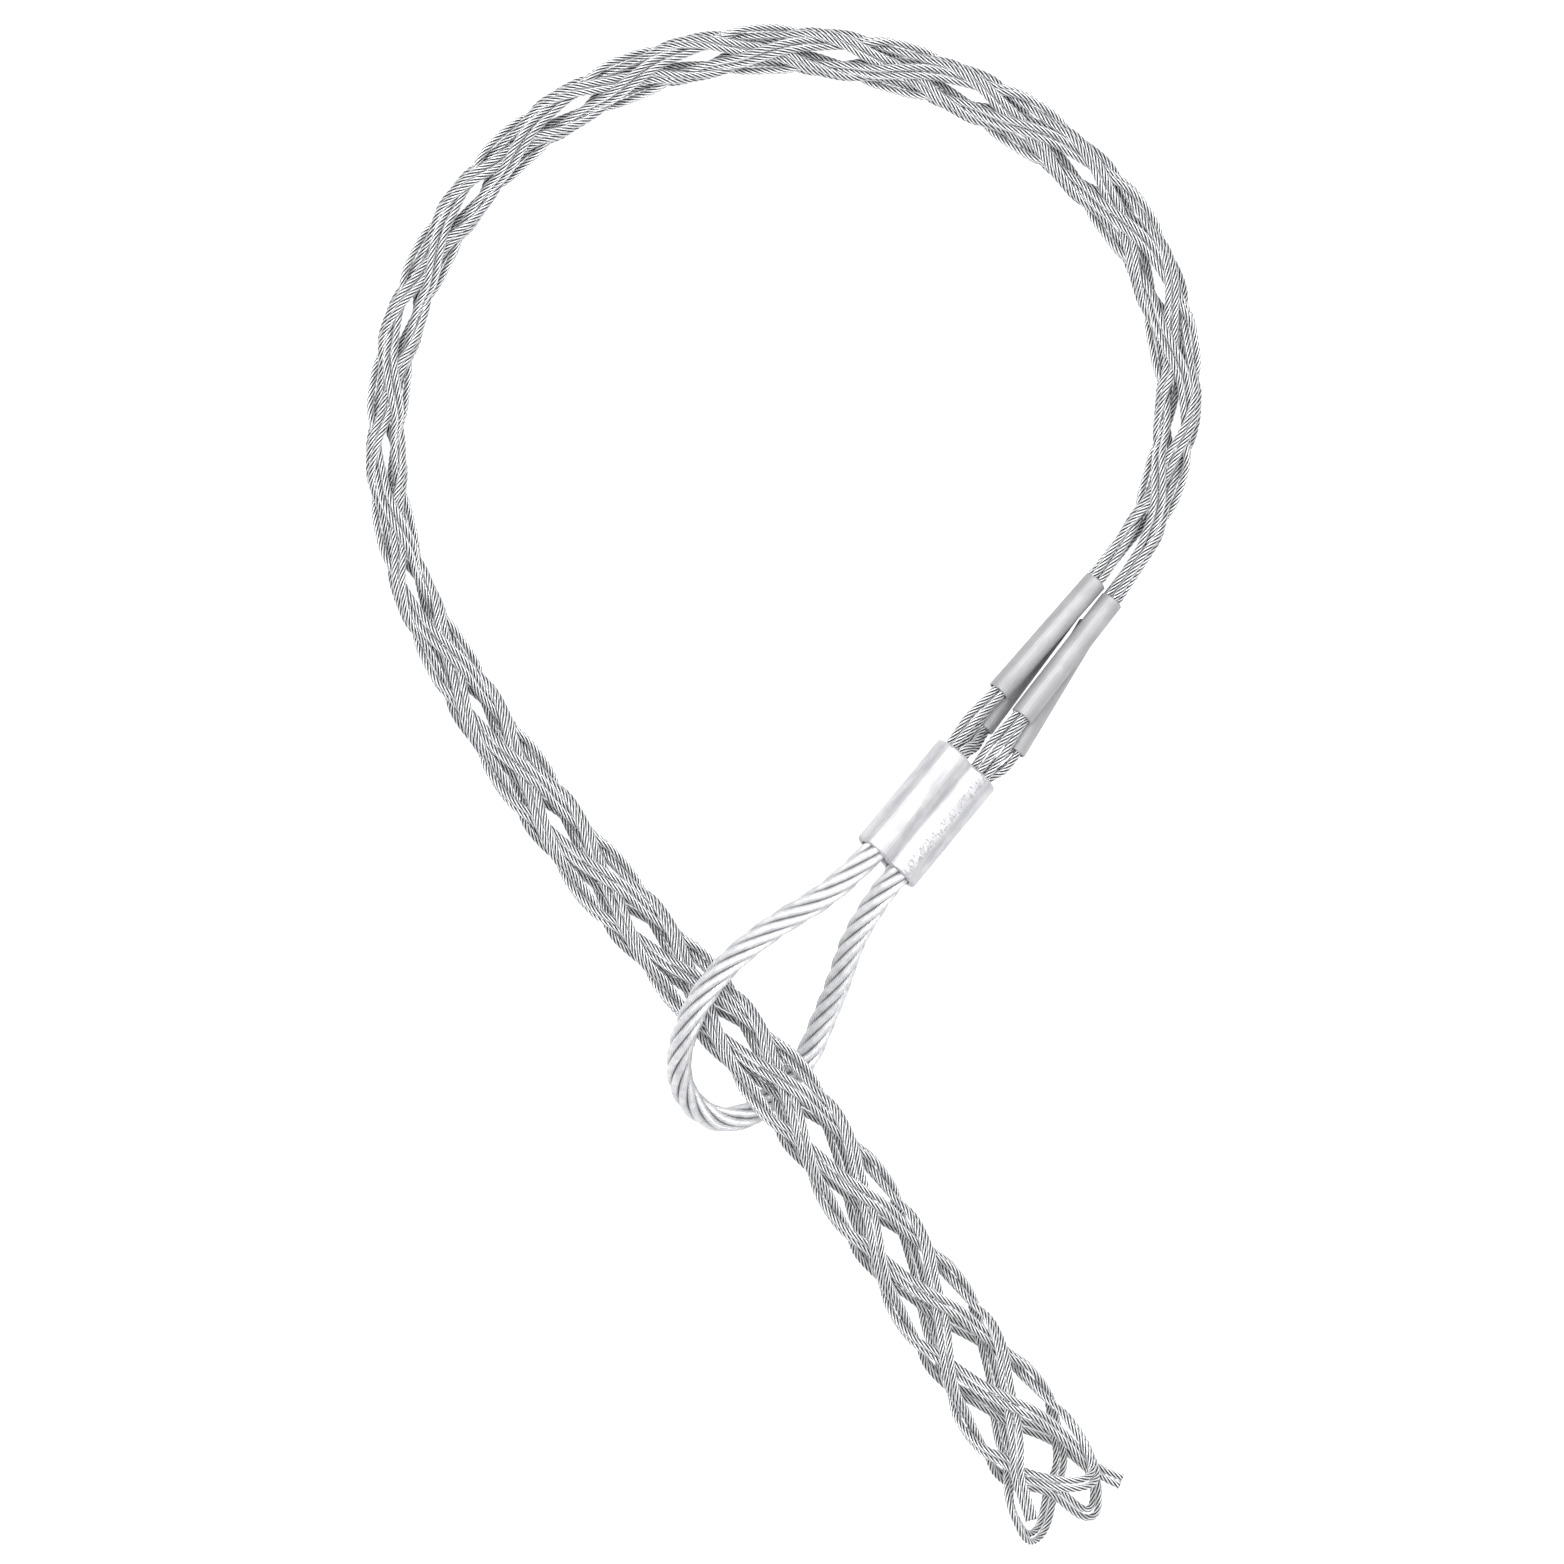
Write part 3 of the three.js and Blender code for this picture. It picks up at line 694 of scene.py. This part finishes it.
@dataclass
class MeshWire:
    """One thin wire of the sock, drawn as a twisted rope of six strands.

    A cut wire's line starts at its cut end, where the strands spread.
    """

    node: str
    line: np.ndarray
    cut: bool = False
    lay: Lay = Lay(diameter=MESH_WIRE, pitch=7.8, spacing=0.57)
    splay: float = 0.22
    splay_length: float = 0.9

    def __post_init__(self) -> None:
        """Spreads the line's points evenly."""
        self.line = even_line(self.line, self.lay.spacing, soften=0.9)

    def build(self, shift: np.ndarray) -> bpy.types.Object:
        """Sweeps the strands' outline along the line with its twist.

        Args:
            shift: From the route's origin to the frame's.

        Returns:
            The wire's mesh object.
        """
        _, first, second = carried_frames(self.line)
        run = along(self.line)
        angles, radii = self.lay.profile()
        turned = angles[None, :] + (2 * math.pi * run / self.lay.pitch)[:, None]
        # The crown also sets the painted shade that darkens the grooves between strands.
        crown = (radii / radii.max() - self.lay.groove) / (1 - self.lay.groove)
        spread = self.splay * np.exp(-run / self.splay_length)[:, None] if self.cut else 0.0
        radii = radii * (1 + spread * (2 * crown - 1))
        rings = self.line[:, None, :] + shift
        rings = rings + (radii * np.cos(turned))[:, :, None] * first[:, None, :]
        rings = rings + (radii * np.sin(turned))[:, :, None] * second[:, None, :]
        tubes = Tubes()
        tubes.add(rings, crown, run)
        return tubes.to_object(self.node.replace("mesh_wire", "wire"))


@dataclass
class EyeRope:
    """The rope eye: six strands of fine wires laid round each other.

    The strands' pitch changes from the first leg to the last.
    """

    gathering: Gathering
    node: str = "eye_rope"
    first_pitch: float = 38.0
    last_pitch: float = 27.0
    strand: float = EYE_ROPE / 3
    wires: int = 12
    wire_pitch: float = -16.0
    spacing: float = 0.9

    def __post_init__(self) -> None:
        """Routes the rope out of one barrel and back into the other."""
        ends = [FERRULE_LENGTH - GRIP_DEPTH, FERRULE_LENGTH - GRIP_DEPTH / 2, FERRULE_LENGTH]
        points = [self.gathering.barrel_point(1, depth) for depth in ends]
        points += [np.array(point) for point in EYE_ROUTE]
        points += [self.gathering.barrel_point(-1, depth) for depth in reversed(ends)]
        dense = smooth_curve(np.array(points), np.linspace(0, 1, 600))
        self.line = even_line(dense, self.spacing, soften=1.6)

    def build(self, shift: np.ndarray) -> bpy.types.Object:
        """Lays the strands.

        Args:
            shift: From the route's origin to the frame's.

        Returns:
            The rope's mesh object.
        """
        _, first, second = carried_frames(self.line)
        run = along(self.line)
        pitch = self.first_pitch + (self.last_pitch - self.first_pitch) * run / run[-1]
        turns = np.concatenate([[0.0], np.cumsum(np.diff(run) / pitch[1:])])
        around = 3 * self.wires
        angles = 2 * math.pi * np.arange(around) / around
        height = 0.5 + 0.5 * np.cos(self.wires * angles)
        radii = self.strand / 2 * (0.93 + 0.09 * height)
        tubes = Tubes()
        for index in range(6):
            lean = 2 * math.pi * (index / 6 + turns)
            centre = self.line + shift
            centre = centre + self.strand * np.cos(lean)[:, None] * first
            centre = centre + self.strand * np.sin(lean)[:, None] * second
            turned = angles[None, :] + (2 * math.pi * run / self.wire_pitch)[:, None]
            rings = centre[:, None, :] + (radii * np.cos(turned))[:, :, None] * first[:, None, :]
            rings = rings + (radii * np.sin(turned))[:, :, None] * second[:, None, :]
            # Painted shade: the crown that colours the strands is lowered on each strand's side that
            # faces into the rope and between the fine wires, so the material darkens there.
            away = (0.5 + 0.5 * np.cos(turned - lean[:, None])) ** 0.7
            tubes.add(rings, (0.5 + 0.5 * height) * away, run)
        piece = tubes.to_object("eye_rope_strands")
        return piece


@dataclass(frozen=True)
class Metal:
    """A metal finish, with the sizes of its wear."""

    name: str
    bright: tuple[float, float, float]
    dark: tuple[float, float, float]
    metallic: float
    roughness: float
    grain: float
    grain_size: float

    def start(self) -> tuple[bpy.types.Material, bpy.types.NodeTree, bpy.types.Node]:
        """Makes the material with its shader.

        Returns:
            The material, its nodes and its shader node.
        """
        material = bpy.data.materials.new(self.name)
        material.use_nodes = True
        tree = material.node_tree
        shader = tree.nodes["Principled BSDF"]
        shader.inputs["Metallic"].default_value = self.metallic
        return material, tree, shader

    def roughen(
        self,
        tree: bpy.types.NodeTree,
        noise: bpy.types.Node,
        shader: bpy.types.Node,
        duller: float,
        glossier: float,
    ) -> None:
        """Varies the roughness with a noise.

        Args:
            tree: The material's nodes.
            noise: The noise node.
            shader: The shader node.
            duller: How much rougher the metal is where the noise is 0.
            glossier: How much smoother it is where the noise is 1.
        """
        most, least = self.roughness + duller, self.roughness - glossier
        rough = add_node(tree, "ShaderNodeMapRange", To_Min=most, To_Max=least)
        tree.links.new(noise.outputs["Fac"], rough.inputs["Value"])
        tree.links.new(rough.outputs["Result"], shader.inputs["Roughness"])


def add_node(tree: bpy.types.NodeTree, kind: str, **values: object) -> bpy.types.Node:
    """Adds a node and sets its sockets.

    Args:
        tree: The material's nodes.
        kind: The node's type.
        values: Socket values by name, with underscores for spaces.

    Returns:
        The new node.
    """
    node = tree.nodes.new(kind)
    for name, value in values.items():
        node.inputs[name.replace("_", " ")].default_value = value
    return node


def add_math(
    tree: bpy.types.NodeTree,
    operation: str,
    first: bpy.types.NodeSocket,
    second: bpy.types.NodeSocket | float | None = None,
) -> bpy.types.NodeSocket:
    """Adds a sum with one or two values.

    Args:
        tree: The material's nodes.
        operation: What is worked out.
        first: The first value.
        second: The second value, as a socket or a number, where there is one.

    Returns:
        The result.
    """
    node = tree.nodes.new("ShaderNodeMath")
    node.operation = operation
    tree.links.new(first, node.inputs[0])
    if isinstance(second, bpy.types.NodeSocket):
        tree.links.new(second, node.inputs[1])
    elif second is not None:
        node.inputs[1].default_value = second
    return node.outputs["Value"]


def ramp(tree: bpy.types.NodeTree, *stops: tuple[float, tuple[float, float, float]]) -> bpy.types.Node:
    """Adds a colour ramp.

    Args:
        tree: The material's nodes.
        stops: Positions and colours, in order.

    Returns:
        The ramp node.
    """
    node = tree.nodes.new("ShaderNodeValToRGB")
    elements = node.color_ramp.elements
    while len(elements) < len(stops):
        elements.new(0.5)
    for element, (position, colour) in zip(elements, stops):
        element.position = position
        element.color = (*colour, 1.0)
    return node


@dataclass(frozen=True)
class StrandedSteel(Metal):
    """Galvanised wire rope, with painted shade that darkens its colour towards the grooves between its
    strands.

    Low and high are each a height on a strand and the share of the bright tone that it has there.
    """

    strand_height: float
    low: tuple[float, float]
    high: tuple[float, float]

    def build(self) -> bpy.types.Material:
        """Makes the material.

        Returns:
            The finished material.
        """
        material, tree, shader = self.start()
        crown = tree.nodes.new("ShaderNodeAttribute")
        crown.attribute_name = "crown"
        place = tree.nodes.new("ShaderNodeTexCoord")
        patches = add_node(tree, "ShaderNodeTexNoise", Scale=self.grain_size, Detail=3.0, Roughness=0.6)
        tree.links.new(place.outputs["Object"], patches.inputs["Vector"])
        between = [
            (height, tuple(share * tone for tone in self.bright))
            for height, share in (self.low, self.high)
        ]
        # Painted shade: the ramp darkens the colour where the crown is low, in the grooves between
        # strands and wires, where shade would fall.
        shade = ramp(tree, (0.0, self.dark), *between, (1.0, self.bright))
        tree.links.new(crown.outputs["Fac"], shade.inputs["Fac"])
        tint = ramp(tree, (0.32, (0.72, 0.73, 0.75)), (0.68, (1.0, 1.0, 1.0)))
        tree.links.new(patches.outputs["Fac"], tint.inputs["Fac"])
        mix = tree.nodes.new("ShaderNodeMix")
        mix.data_type = "RGBA"
        mix.blend_type = "MULTIPLY"
        mix.inputs["Factor"].default_value = 1.0
        tree.links.new(shade.outputs["Color"], mix.inputs["A"])
        tree.links.new(tint.outputs["Color"], mix.inputs["B"])
        tree.links.new(mix.outputs["Result"], shader.inputs["Base Color"])
        self.roughen(tree, patches, shader, duller=0.12, glossier=0.06)
        raised = add_math(tree, "POWER", crown.outputs["Fac"], 0.6)
        strands = add_node(tree, "ShaderNodeBump", Strength=0.8, Distance=self.strand_height)
        tree.links.new(raised, strands.inputs["Height"])
        bump = add_node(tree, "ShaderNodeBump", Strength=self.grain, Distance=0.00005)
        tree.links.new(patches.outputs["Fac"], bump.inputs["Height"])
        tree.links.new(strands.outputs["Normal"], bump.inputs["Normal"])
        tree.links.new(bump.outputs["Normal"], shader.inputs["Normal"])
        return material


@dataclass(frozen=True)
class DrawnMetal(Metal):
    """A pressed or drawn metal, streaked along its axis, with a band of press marks.

    The heading turns the metal's axis to Y, and the band's two edges are in millimetres across it.
    """

    heading: float = 0.0
    band: tuple[float, float] = (0.0, 0.0)

    def build(self) -> bpy.types.Material:
        """Makes the material.

        Returns:
            The finished material.
        """
        material, tree, shader = self.start()
        place = tree.nodes.new("ShaderNodeTexCoord")
        turn = tree.nodes.new("ShaderNodeMapping")
        turn.inputs["Rotation"].default_value = (0.0, 0.0, self.heading)
        tree.links.new(place.outputs["Object"], turn.inputs["Vector"])
        stretch = tree.nodes.new("ShaderNodeMapping")
        stretch.inputs["Scale"].default_value = (1.0, 0.09, 1.0)
        tree.links.new(turn.outputs["Vector"], stretch.inputs["Vector"])
        streaks = add_node(tree, "ShaderNodeTexNoise", Scale=self.grain_size, Detail=4.0, Roughness=0.65)
        tree.links.new(stretch.outputs["Vector"], streaks.inputs["Vector"])
        coarse = self.grain_size * 0.3
        clouds = add_node(tree, "ShaderNodeTexNoise", Scale=coarse, Detail=3.0, Roughness=0.55)
        tree.links.new(turn.outputs["Vector"], clouds.inputs["Vector"])
        both = add_math(tree, "MULTIPLY", streaks.outputs["Fac"], clouds.outputs["Fac"])
        shade = ramp(tree, (0.14, self.dark), (0.36, self.bright))
        tree.links.new(both, shade.inputs["Fac"])
        bites, height = self._bites(tree, turn)
        bitten = tree.nodes.new("ShaderNodeMix")
        bitten.data_type = "RGBA"
        tree.links.new(bites, bitten.inputs["Factor"])
        tree.links.new(shade.outputs["Color"], bitten.inputs["A"])
        bitten.inputs["B"].default_value = (*(0.85 * tone for tone in self.dark), 1.0)
        tree.links.new(bitten.outputs["Result"], shader.inputs["Base Color"])
        self.roughen(tree, clouds, shader, duller=0.14, glossier=0.08)
        drawn = add_node(tree, "ShaderNodeBump", Strength=self.grain, Distance=0.0001)
        tree.links.new(both, drawn.inputs["Height"])
        dents = add_node(tree, "ShaderNodeBump", Strength=0.5, Distance=0.0002)
        tree.links.new(height, dents.inputs["Height"])
        tree.links.new(drawn.outputs["Normal"], dents.inputs["Normal"])
        tree.links.new(dents.outputs["Normal"], shader.inputs["Normal"])
        return material

    def _bites(
        self, tree: bpy.types.NodeTree, turn: bpy.types.Node
    ) -> tuple[bpy.types.NodeSocket, bpy.types.NodeSocket]:
        """Adds the short marks that a press leaves along one side.

        Args:
            tree: The material's nodes.
            turn: The node that turns places so that the metal's axis runs along Y.

        Returns:
            How dark the marks are, and their height.
        """
        across = tree.nodes.new("ShaderNodeSeparateXYZ")
        tree.links.new(turn.outputs["Vector"], across.inputs["Vector"])
        middle = (self.band[0] + self.band[1]) / 2 * MM
        reach = (self.band[1] - self.band[0]) / 2 * MM
        far = add_math(tree, "ABSOLUTE", add_math(tree, "SUBTRACT", across.outputs["X"], middle))
        inside = add_node(tree, "ShaderNodeMapRange", From_Min=reach, From_Max=reach - 0.5 * MM)
        tree.links.new(far, inside.inputs["Value"])
        slant = tree.nodes.new("ShaderNodeMapping")
        slant.inputs["Rotation"].default_value = (0.0, 0.0, 0.6)
        slant.inputs["Scale"].default_value = (0.45, 1.0, 0.45)
        tree.links.new(turn.outputs["Vector"], slant.inputs["Vector"])
        marks = add_node(tree, "ShaderNodeTexNoise", Scale=2100.0, Detail=2.0, Roughness=0.7)
        tree.links.new(slant.outputs["Vector"], marks.inputs["Vector"])
        cut = add_node(tree, "ShaderNodeMapRange", From_Min=0.5, From_Max=0.66)
        tree.links.new(marks.outputs["Fac"], cut.inputs["Value"])
        kept = add_math(tree, "MULTIPLY", cut.outputs["Result"], inside.outputs["Result"])
        return kept, add_math(tree, "MULTIPLY", kept, -1.0)


@dataclass(frozen=True)
class Lamp:
    """A square soft light that faces the grip, with its place and size in metres."""

    name: str
    place: tuple[float, float, float]
    size: float
    power: float


@dataclass
class Studio:
    """The pale floor, the soft light and the camera that looks straight down.

    The floor glows for the camera and much less in reflections, so that the metal stands out.
    """

    shift: np.ndarray
    photo_width: float = 312.8
    camera_height: float = 2400.0
    camera_aim: tuple[float, float] = (-0.3, 0.3)
    floor_size: float = 4.0
    floor_tone: tuple[float, float, float] = (0.72, 0.72, 0.73)
    floor_glow: tuple[float, float] = (0.12, 0.8)
    sky: tuple[tuple[float, tuple[float, float, float]], ...] = (
        (0.0, (0.26, 0.26, 0.27)),
        (0.5, (0.45, 0.45, 0.46)),
        (1.0, (1.0, 1.0, 1.0)),
    )
    sky_strength: float = 1.15
    lamps: tuple[Lamp, ...] = (
        Lamp("key", (-0.14, 0.26, 1.0), 0.45, 8.0),
        Lamp("fill", (0.45, -0.35, 0.9), 0.6, 3.0),
    )

    def build_camera(self) -> None:
        """Adds the camera at the photograph's angle and width."""
        data = bpy.data.cameras.new("camera")
        data.sensor_width = 36.0
        data.lens = data.sensor_width * self.camera_height / self.photo_width
        data.clip_end = 20.0
        camera = bpy.data.objects.new("camera", data)
        aim = (np.array([*self.camera_aim, 0.0]) + self.shift) * MM
        camera.location = (aim[0], aim[1], self.camera_height * MM)
        bpy.context.scene.collection.objects.link(camera)
        bpy.context.scene.camera = camera

    def build_floor(self) -> None:
        """Adds the pale floor."""
        bpy.ops.mesh.primitive_plane_add(size=self.floor_size, location=(0, 0, 0))
        floor = bpy.context.object
        floor.name = "floor"
        material = bpy.data.materials.new("floor")
        material.use_nodes = True
        tree = material.node_tree
        shader = tree.nodes["Principled BSDF"]
        shader.inputs["Base Color"].default_value = (*self.floor_tone, 1.0)
        shader.inputs["Roughness"].default_value = 0.9
        shader.inputs["Emission Color"].default_value = (1.0, 1.0, 1.0, 1.0)
        seen = tree.nodes.new("ShaderNodeLightPath")
        reflected, direct = self.floor_glow
        strength = add_node(tree, "ShaderNodeMapRange", To_Min=reflected, To_Max=direct)
        tree.links.new(seen.outputs["Is Camera Ray"], strength.inputs["Value"])
        tree.links.new(strength.outputs["Result"], shader.inputs["Emission Strength"])
        floor.data.materials.append(material)

    def build_light(self) -> None:
        """Adds the soft lights and the sky's glow."""
        world = bpy.data.worlds.new("studio")
        bpy.context.scene.world = world
        world.use_nodes = True
        tree = world.node_tree
        background = tree.nodes["Background"]
        place = tree.nodes.new("ShaderNodeTexCoord")
        split = tree.nodes.new("ShaderNodeSeparateXYZ")
        tree.links.new(place.outputs["Generated"], split.inputs["Vector"])
        glow = ramp(tree, *self.sky)
        tree.links.new(split.outputs["Z"], glow.inputs["Fac"])
        tree.links.new(glow.outputs["Color"], background.inputs["Color"])
        background.inputs["Strength"].default_value = self.sky_strength
        for lamp in self.lamps:
            data = bpy.data.lights.new(lamp.name, "AREA")
            data.size = lamp.size
            data.energy = lamp.power
            light = bpy.data.objects.new(lamp.name, data)
            light.location = lamp.place
            towards = -np.array(lamp.place)
            light.rotation_euler = (
                math.atan2(math.hypot(towards[0], towards[1]), -towards[2]),
                0.0,
                math.atan2(towards[1], towards[0]) - math.pi / 2,
            )
            bpy.context.scene.collection.objects.link(light)
        bpy.context.scene.view_settings.view_transform = "Standard"


class CableGrip:
    """The whole grip."""

    # The steels' dark tones and low stops set the painted shade in the grooves between strands.
    galvanised = StrandedSteel(
        name="galvanised_mesh_wire",
        bright=(0.96, 0.965, 0.97),
        dark=(0.015, 0.015, 0.017),
        metallic=0.5,
        roughness=0.33,
        grain=0.25,
        grain_size=900.0,
        strand_height=0.00018,
        low=(0.54, 0.09),
        high=(0.77, 0.92),
    )
    eye_steel = StrandedSteel(
        name="galvanised_eye_rope",
        bright=(0.92, 0.92, 0.925),
        dark=(0.04, 0.04, 0.042),
        metallic=0.45,
        roughness=0.36,
        grain=0.25,
        grain_size=600.0,
        strand_height=0.00006,
        low=(0.3, 0.3),
        high=(0.58, 0.82),
    )
    aluminium = DrawnMetal(
        name="pressed_aluminium",
        bright=(0.7, 0.7, 0.71),
        dark=(0.53, 0.53, 0.55),
        metallic=0.65,
        roughness=0.42,
        grain=0.5,
        grain_size=620.0,
        heading=0.693,
        band=(28.2, 30.8),
    )
    sleeve_metal = DrawnMetal(
        name="matt_sleeve",
        bright=(0.47, 0.47, 0.48),
        dark=(0.37, 0.37, 0.38),
        metallic=0.45,
        roughness=0.52,
        grain=0.25,
        grain_size=420.0,
        heading=0.72,
    )

    def __init__(self, nodes: dict[str, bpy.types.Object]) -> None:
        """Works out where everything lies.

        Args:
            nodes: The CAD nodes by name.
        """
        self.nodes = nodes
        self.sock = Sock()
        self.gathering = Gathering(self.sock)
        seat = SEATS[0]
        middle = self.gathering.sleeve_point(seat, SLEEVE_LENGTH / 2)
        low, high = (np.array(corner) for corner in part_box(seat.name))
        self.shift = (low + high) / 2 / MM - middle
        LOG.info("frame lies %s mm from the route's origin", np.round(self.shift, 3))

    def wires(self) -> list[MeshWire]:
        """Routes all ten wires.

        Returns:
            The wires.
        """
        found: list[MeshWire] = []
        turns = (
            ("top", (1, 0, 0.25), (-1, 1, 0.25), TOP_TURN),
            ("low", (1, 2, -0.25), (1, 3, 0.25), LOW_TURN),
            ("side", (-1, 3, -0.25), (-1, 2, -0.25), SIDE_TURN),
        )
        for name, down, back, turn in turns:
            for label, hand in (("outer", 1), ("inner", -1)):
                found.append(MeshWire(f"mesh_wire_{name}_{label}", self._turned(hand, down, back, turn)))
        tails = (
            ("side", (1, 1, -0.25), SIDE_TAIL),
            ("top", (-1, 0, 0.25), TOP_TAIL),
        )
        for name, pair, tail in tails:
            for label, hand in (("1", 1), ("2", -1)):
                line = self._tailed(hand, pair, tail)
                found.append(MeshWire(f"mesh_wire_cut_{name}_{label}", line, cut=True))
        return found

    def _turned(
        self,
        hand: int,
        down: tuple[int, int, float],
        back: tuple[int, int, float],
        turn: tuple[tuple[float, ...], ...],
    ) -> np.ndarray:
        """Line of a wire that comes down with one pair and goes back with another."""
        first = self.sock.weave(*down)
        bend = self._fine(self.sock.mouth(turn), first, self.sock.weave(*back))
        second = self.sock.weave(*back)
        points = np.vstack([first[0][::-1], bend[0], second[0]])
        outward = np.vstack([first[1][::-1], bend[1], second[1]])
        start = self.gathering.tail(down[0], down[1], hand)[::-1]
        end = self.gathering.tail(back[0], back[1], -hand)
        return np.vstack([start, beside(points, outward, hand), end])

    def _tailed(
        self,
        hand: int,
        pair: tuple[int, int, float],
        tail: tuple[tuple[float, ...], ...],
    ) -> np.ndarray:
        """Line of a wire that ends cut at the mouth."""
        weave = self.sock.weave(*pair)
        places = self.sock.mouth(tail)
        loose = self._fine((places[0][::-1], places[1][::-1]), None, weave)
        points = np.vstack([loose[0], weave[0]])
        outward = np.vstack([loose[1], weave[1]])
        return np.vstack([beside(points, outward, hand), self.gathering.tail(pair[0], pair[1], -hand)])

    @staticmethod
    def _fine(
        bend: tuple[np.ndarray, np.ndarray],
        before: tuple[np.ndarray, np.ndarray] | None,
        after: tuple[np.ndarray, np.ndarray],
    ) -> tuple[np.ndarray, np.ndarray]:
        """Rounds the given line at the mouth so that it meets the weave smoothly."""
        joined = []
        for i in range(2):
            parts = [bend[i], after[i][:1]]
            if before is not None:
                parts.insert(0, before[i][:1])
            joined.append(np.vstack(parts))
        spans = len(joined[0]) - 1
        inner = np.linspace(0, 1, spans * 5 + 1)[:-1]
        if before is not None:
            inner = inner[1:]
        return smooth_curve(joined[0], inner), unit(smooth_curve(joined[1], inner))

    def build(self) -> None:
        """Builds every piece in order."""
        eye = EyeRope(self.gathering)
        self._keep(eye.build(self.shift), eye.node, self.eye_steel.build())
        steel = self.galvanised.build()
        for wire in self.wires():
            self._keep(wire.build(self.shift), wire.node, steel)
        self._dress("main_ferrule", self.aluminium.build())
        sleeve_finish = self.sleeve_metal.build()
        for seat in SEATS:
            self._dress(seat.name, sleeve_finish)

    def _keep(
        self, piece: bpy.types.Object, node: str, material: bpy.types.Material
    ) -> None:
        """Puts a new piece in place of its CAD node."""
        piece.data.materials.append(material)
        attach(piece, ROOT)
        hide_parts(node)
        LOG.info("%s stands for %s with %d faces", piece.name, node, len(piece.data.polygons))

    def _dress(self, name: str, material: bpy.types.Material) -> None:
        """Gives a CAD node its finish."""
        node = self.nodes[name]
        node.data.materials.clear()
        node.data.materials.append(material)
        bpy.ops.object.select_all(action="DESELECT")
        node.select_set(True)
        bpy.context.view_layer.objects.active = node
        bpy.ops.object.shade_smooth_by_angle(angle=math.radians(32))
        node.select_set(False)
        LOG.info("%s dressed", name)


def main() -> None:
    """Builds the scene in order."""
    logging.basicConfig(level=logging.INFO, format="%(name)s: %(message)s")
    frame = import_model()
    bpy.ops.object.select_all(action="DESELECT")
    grip = CableGrip(frame["nodes"])
    studio = Studio(grip.shift)
    studio.build_camera()
    grip.build()
    studio.build_floor()
    studio.build_light()


if __name__ == "__main__":
    main()
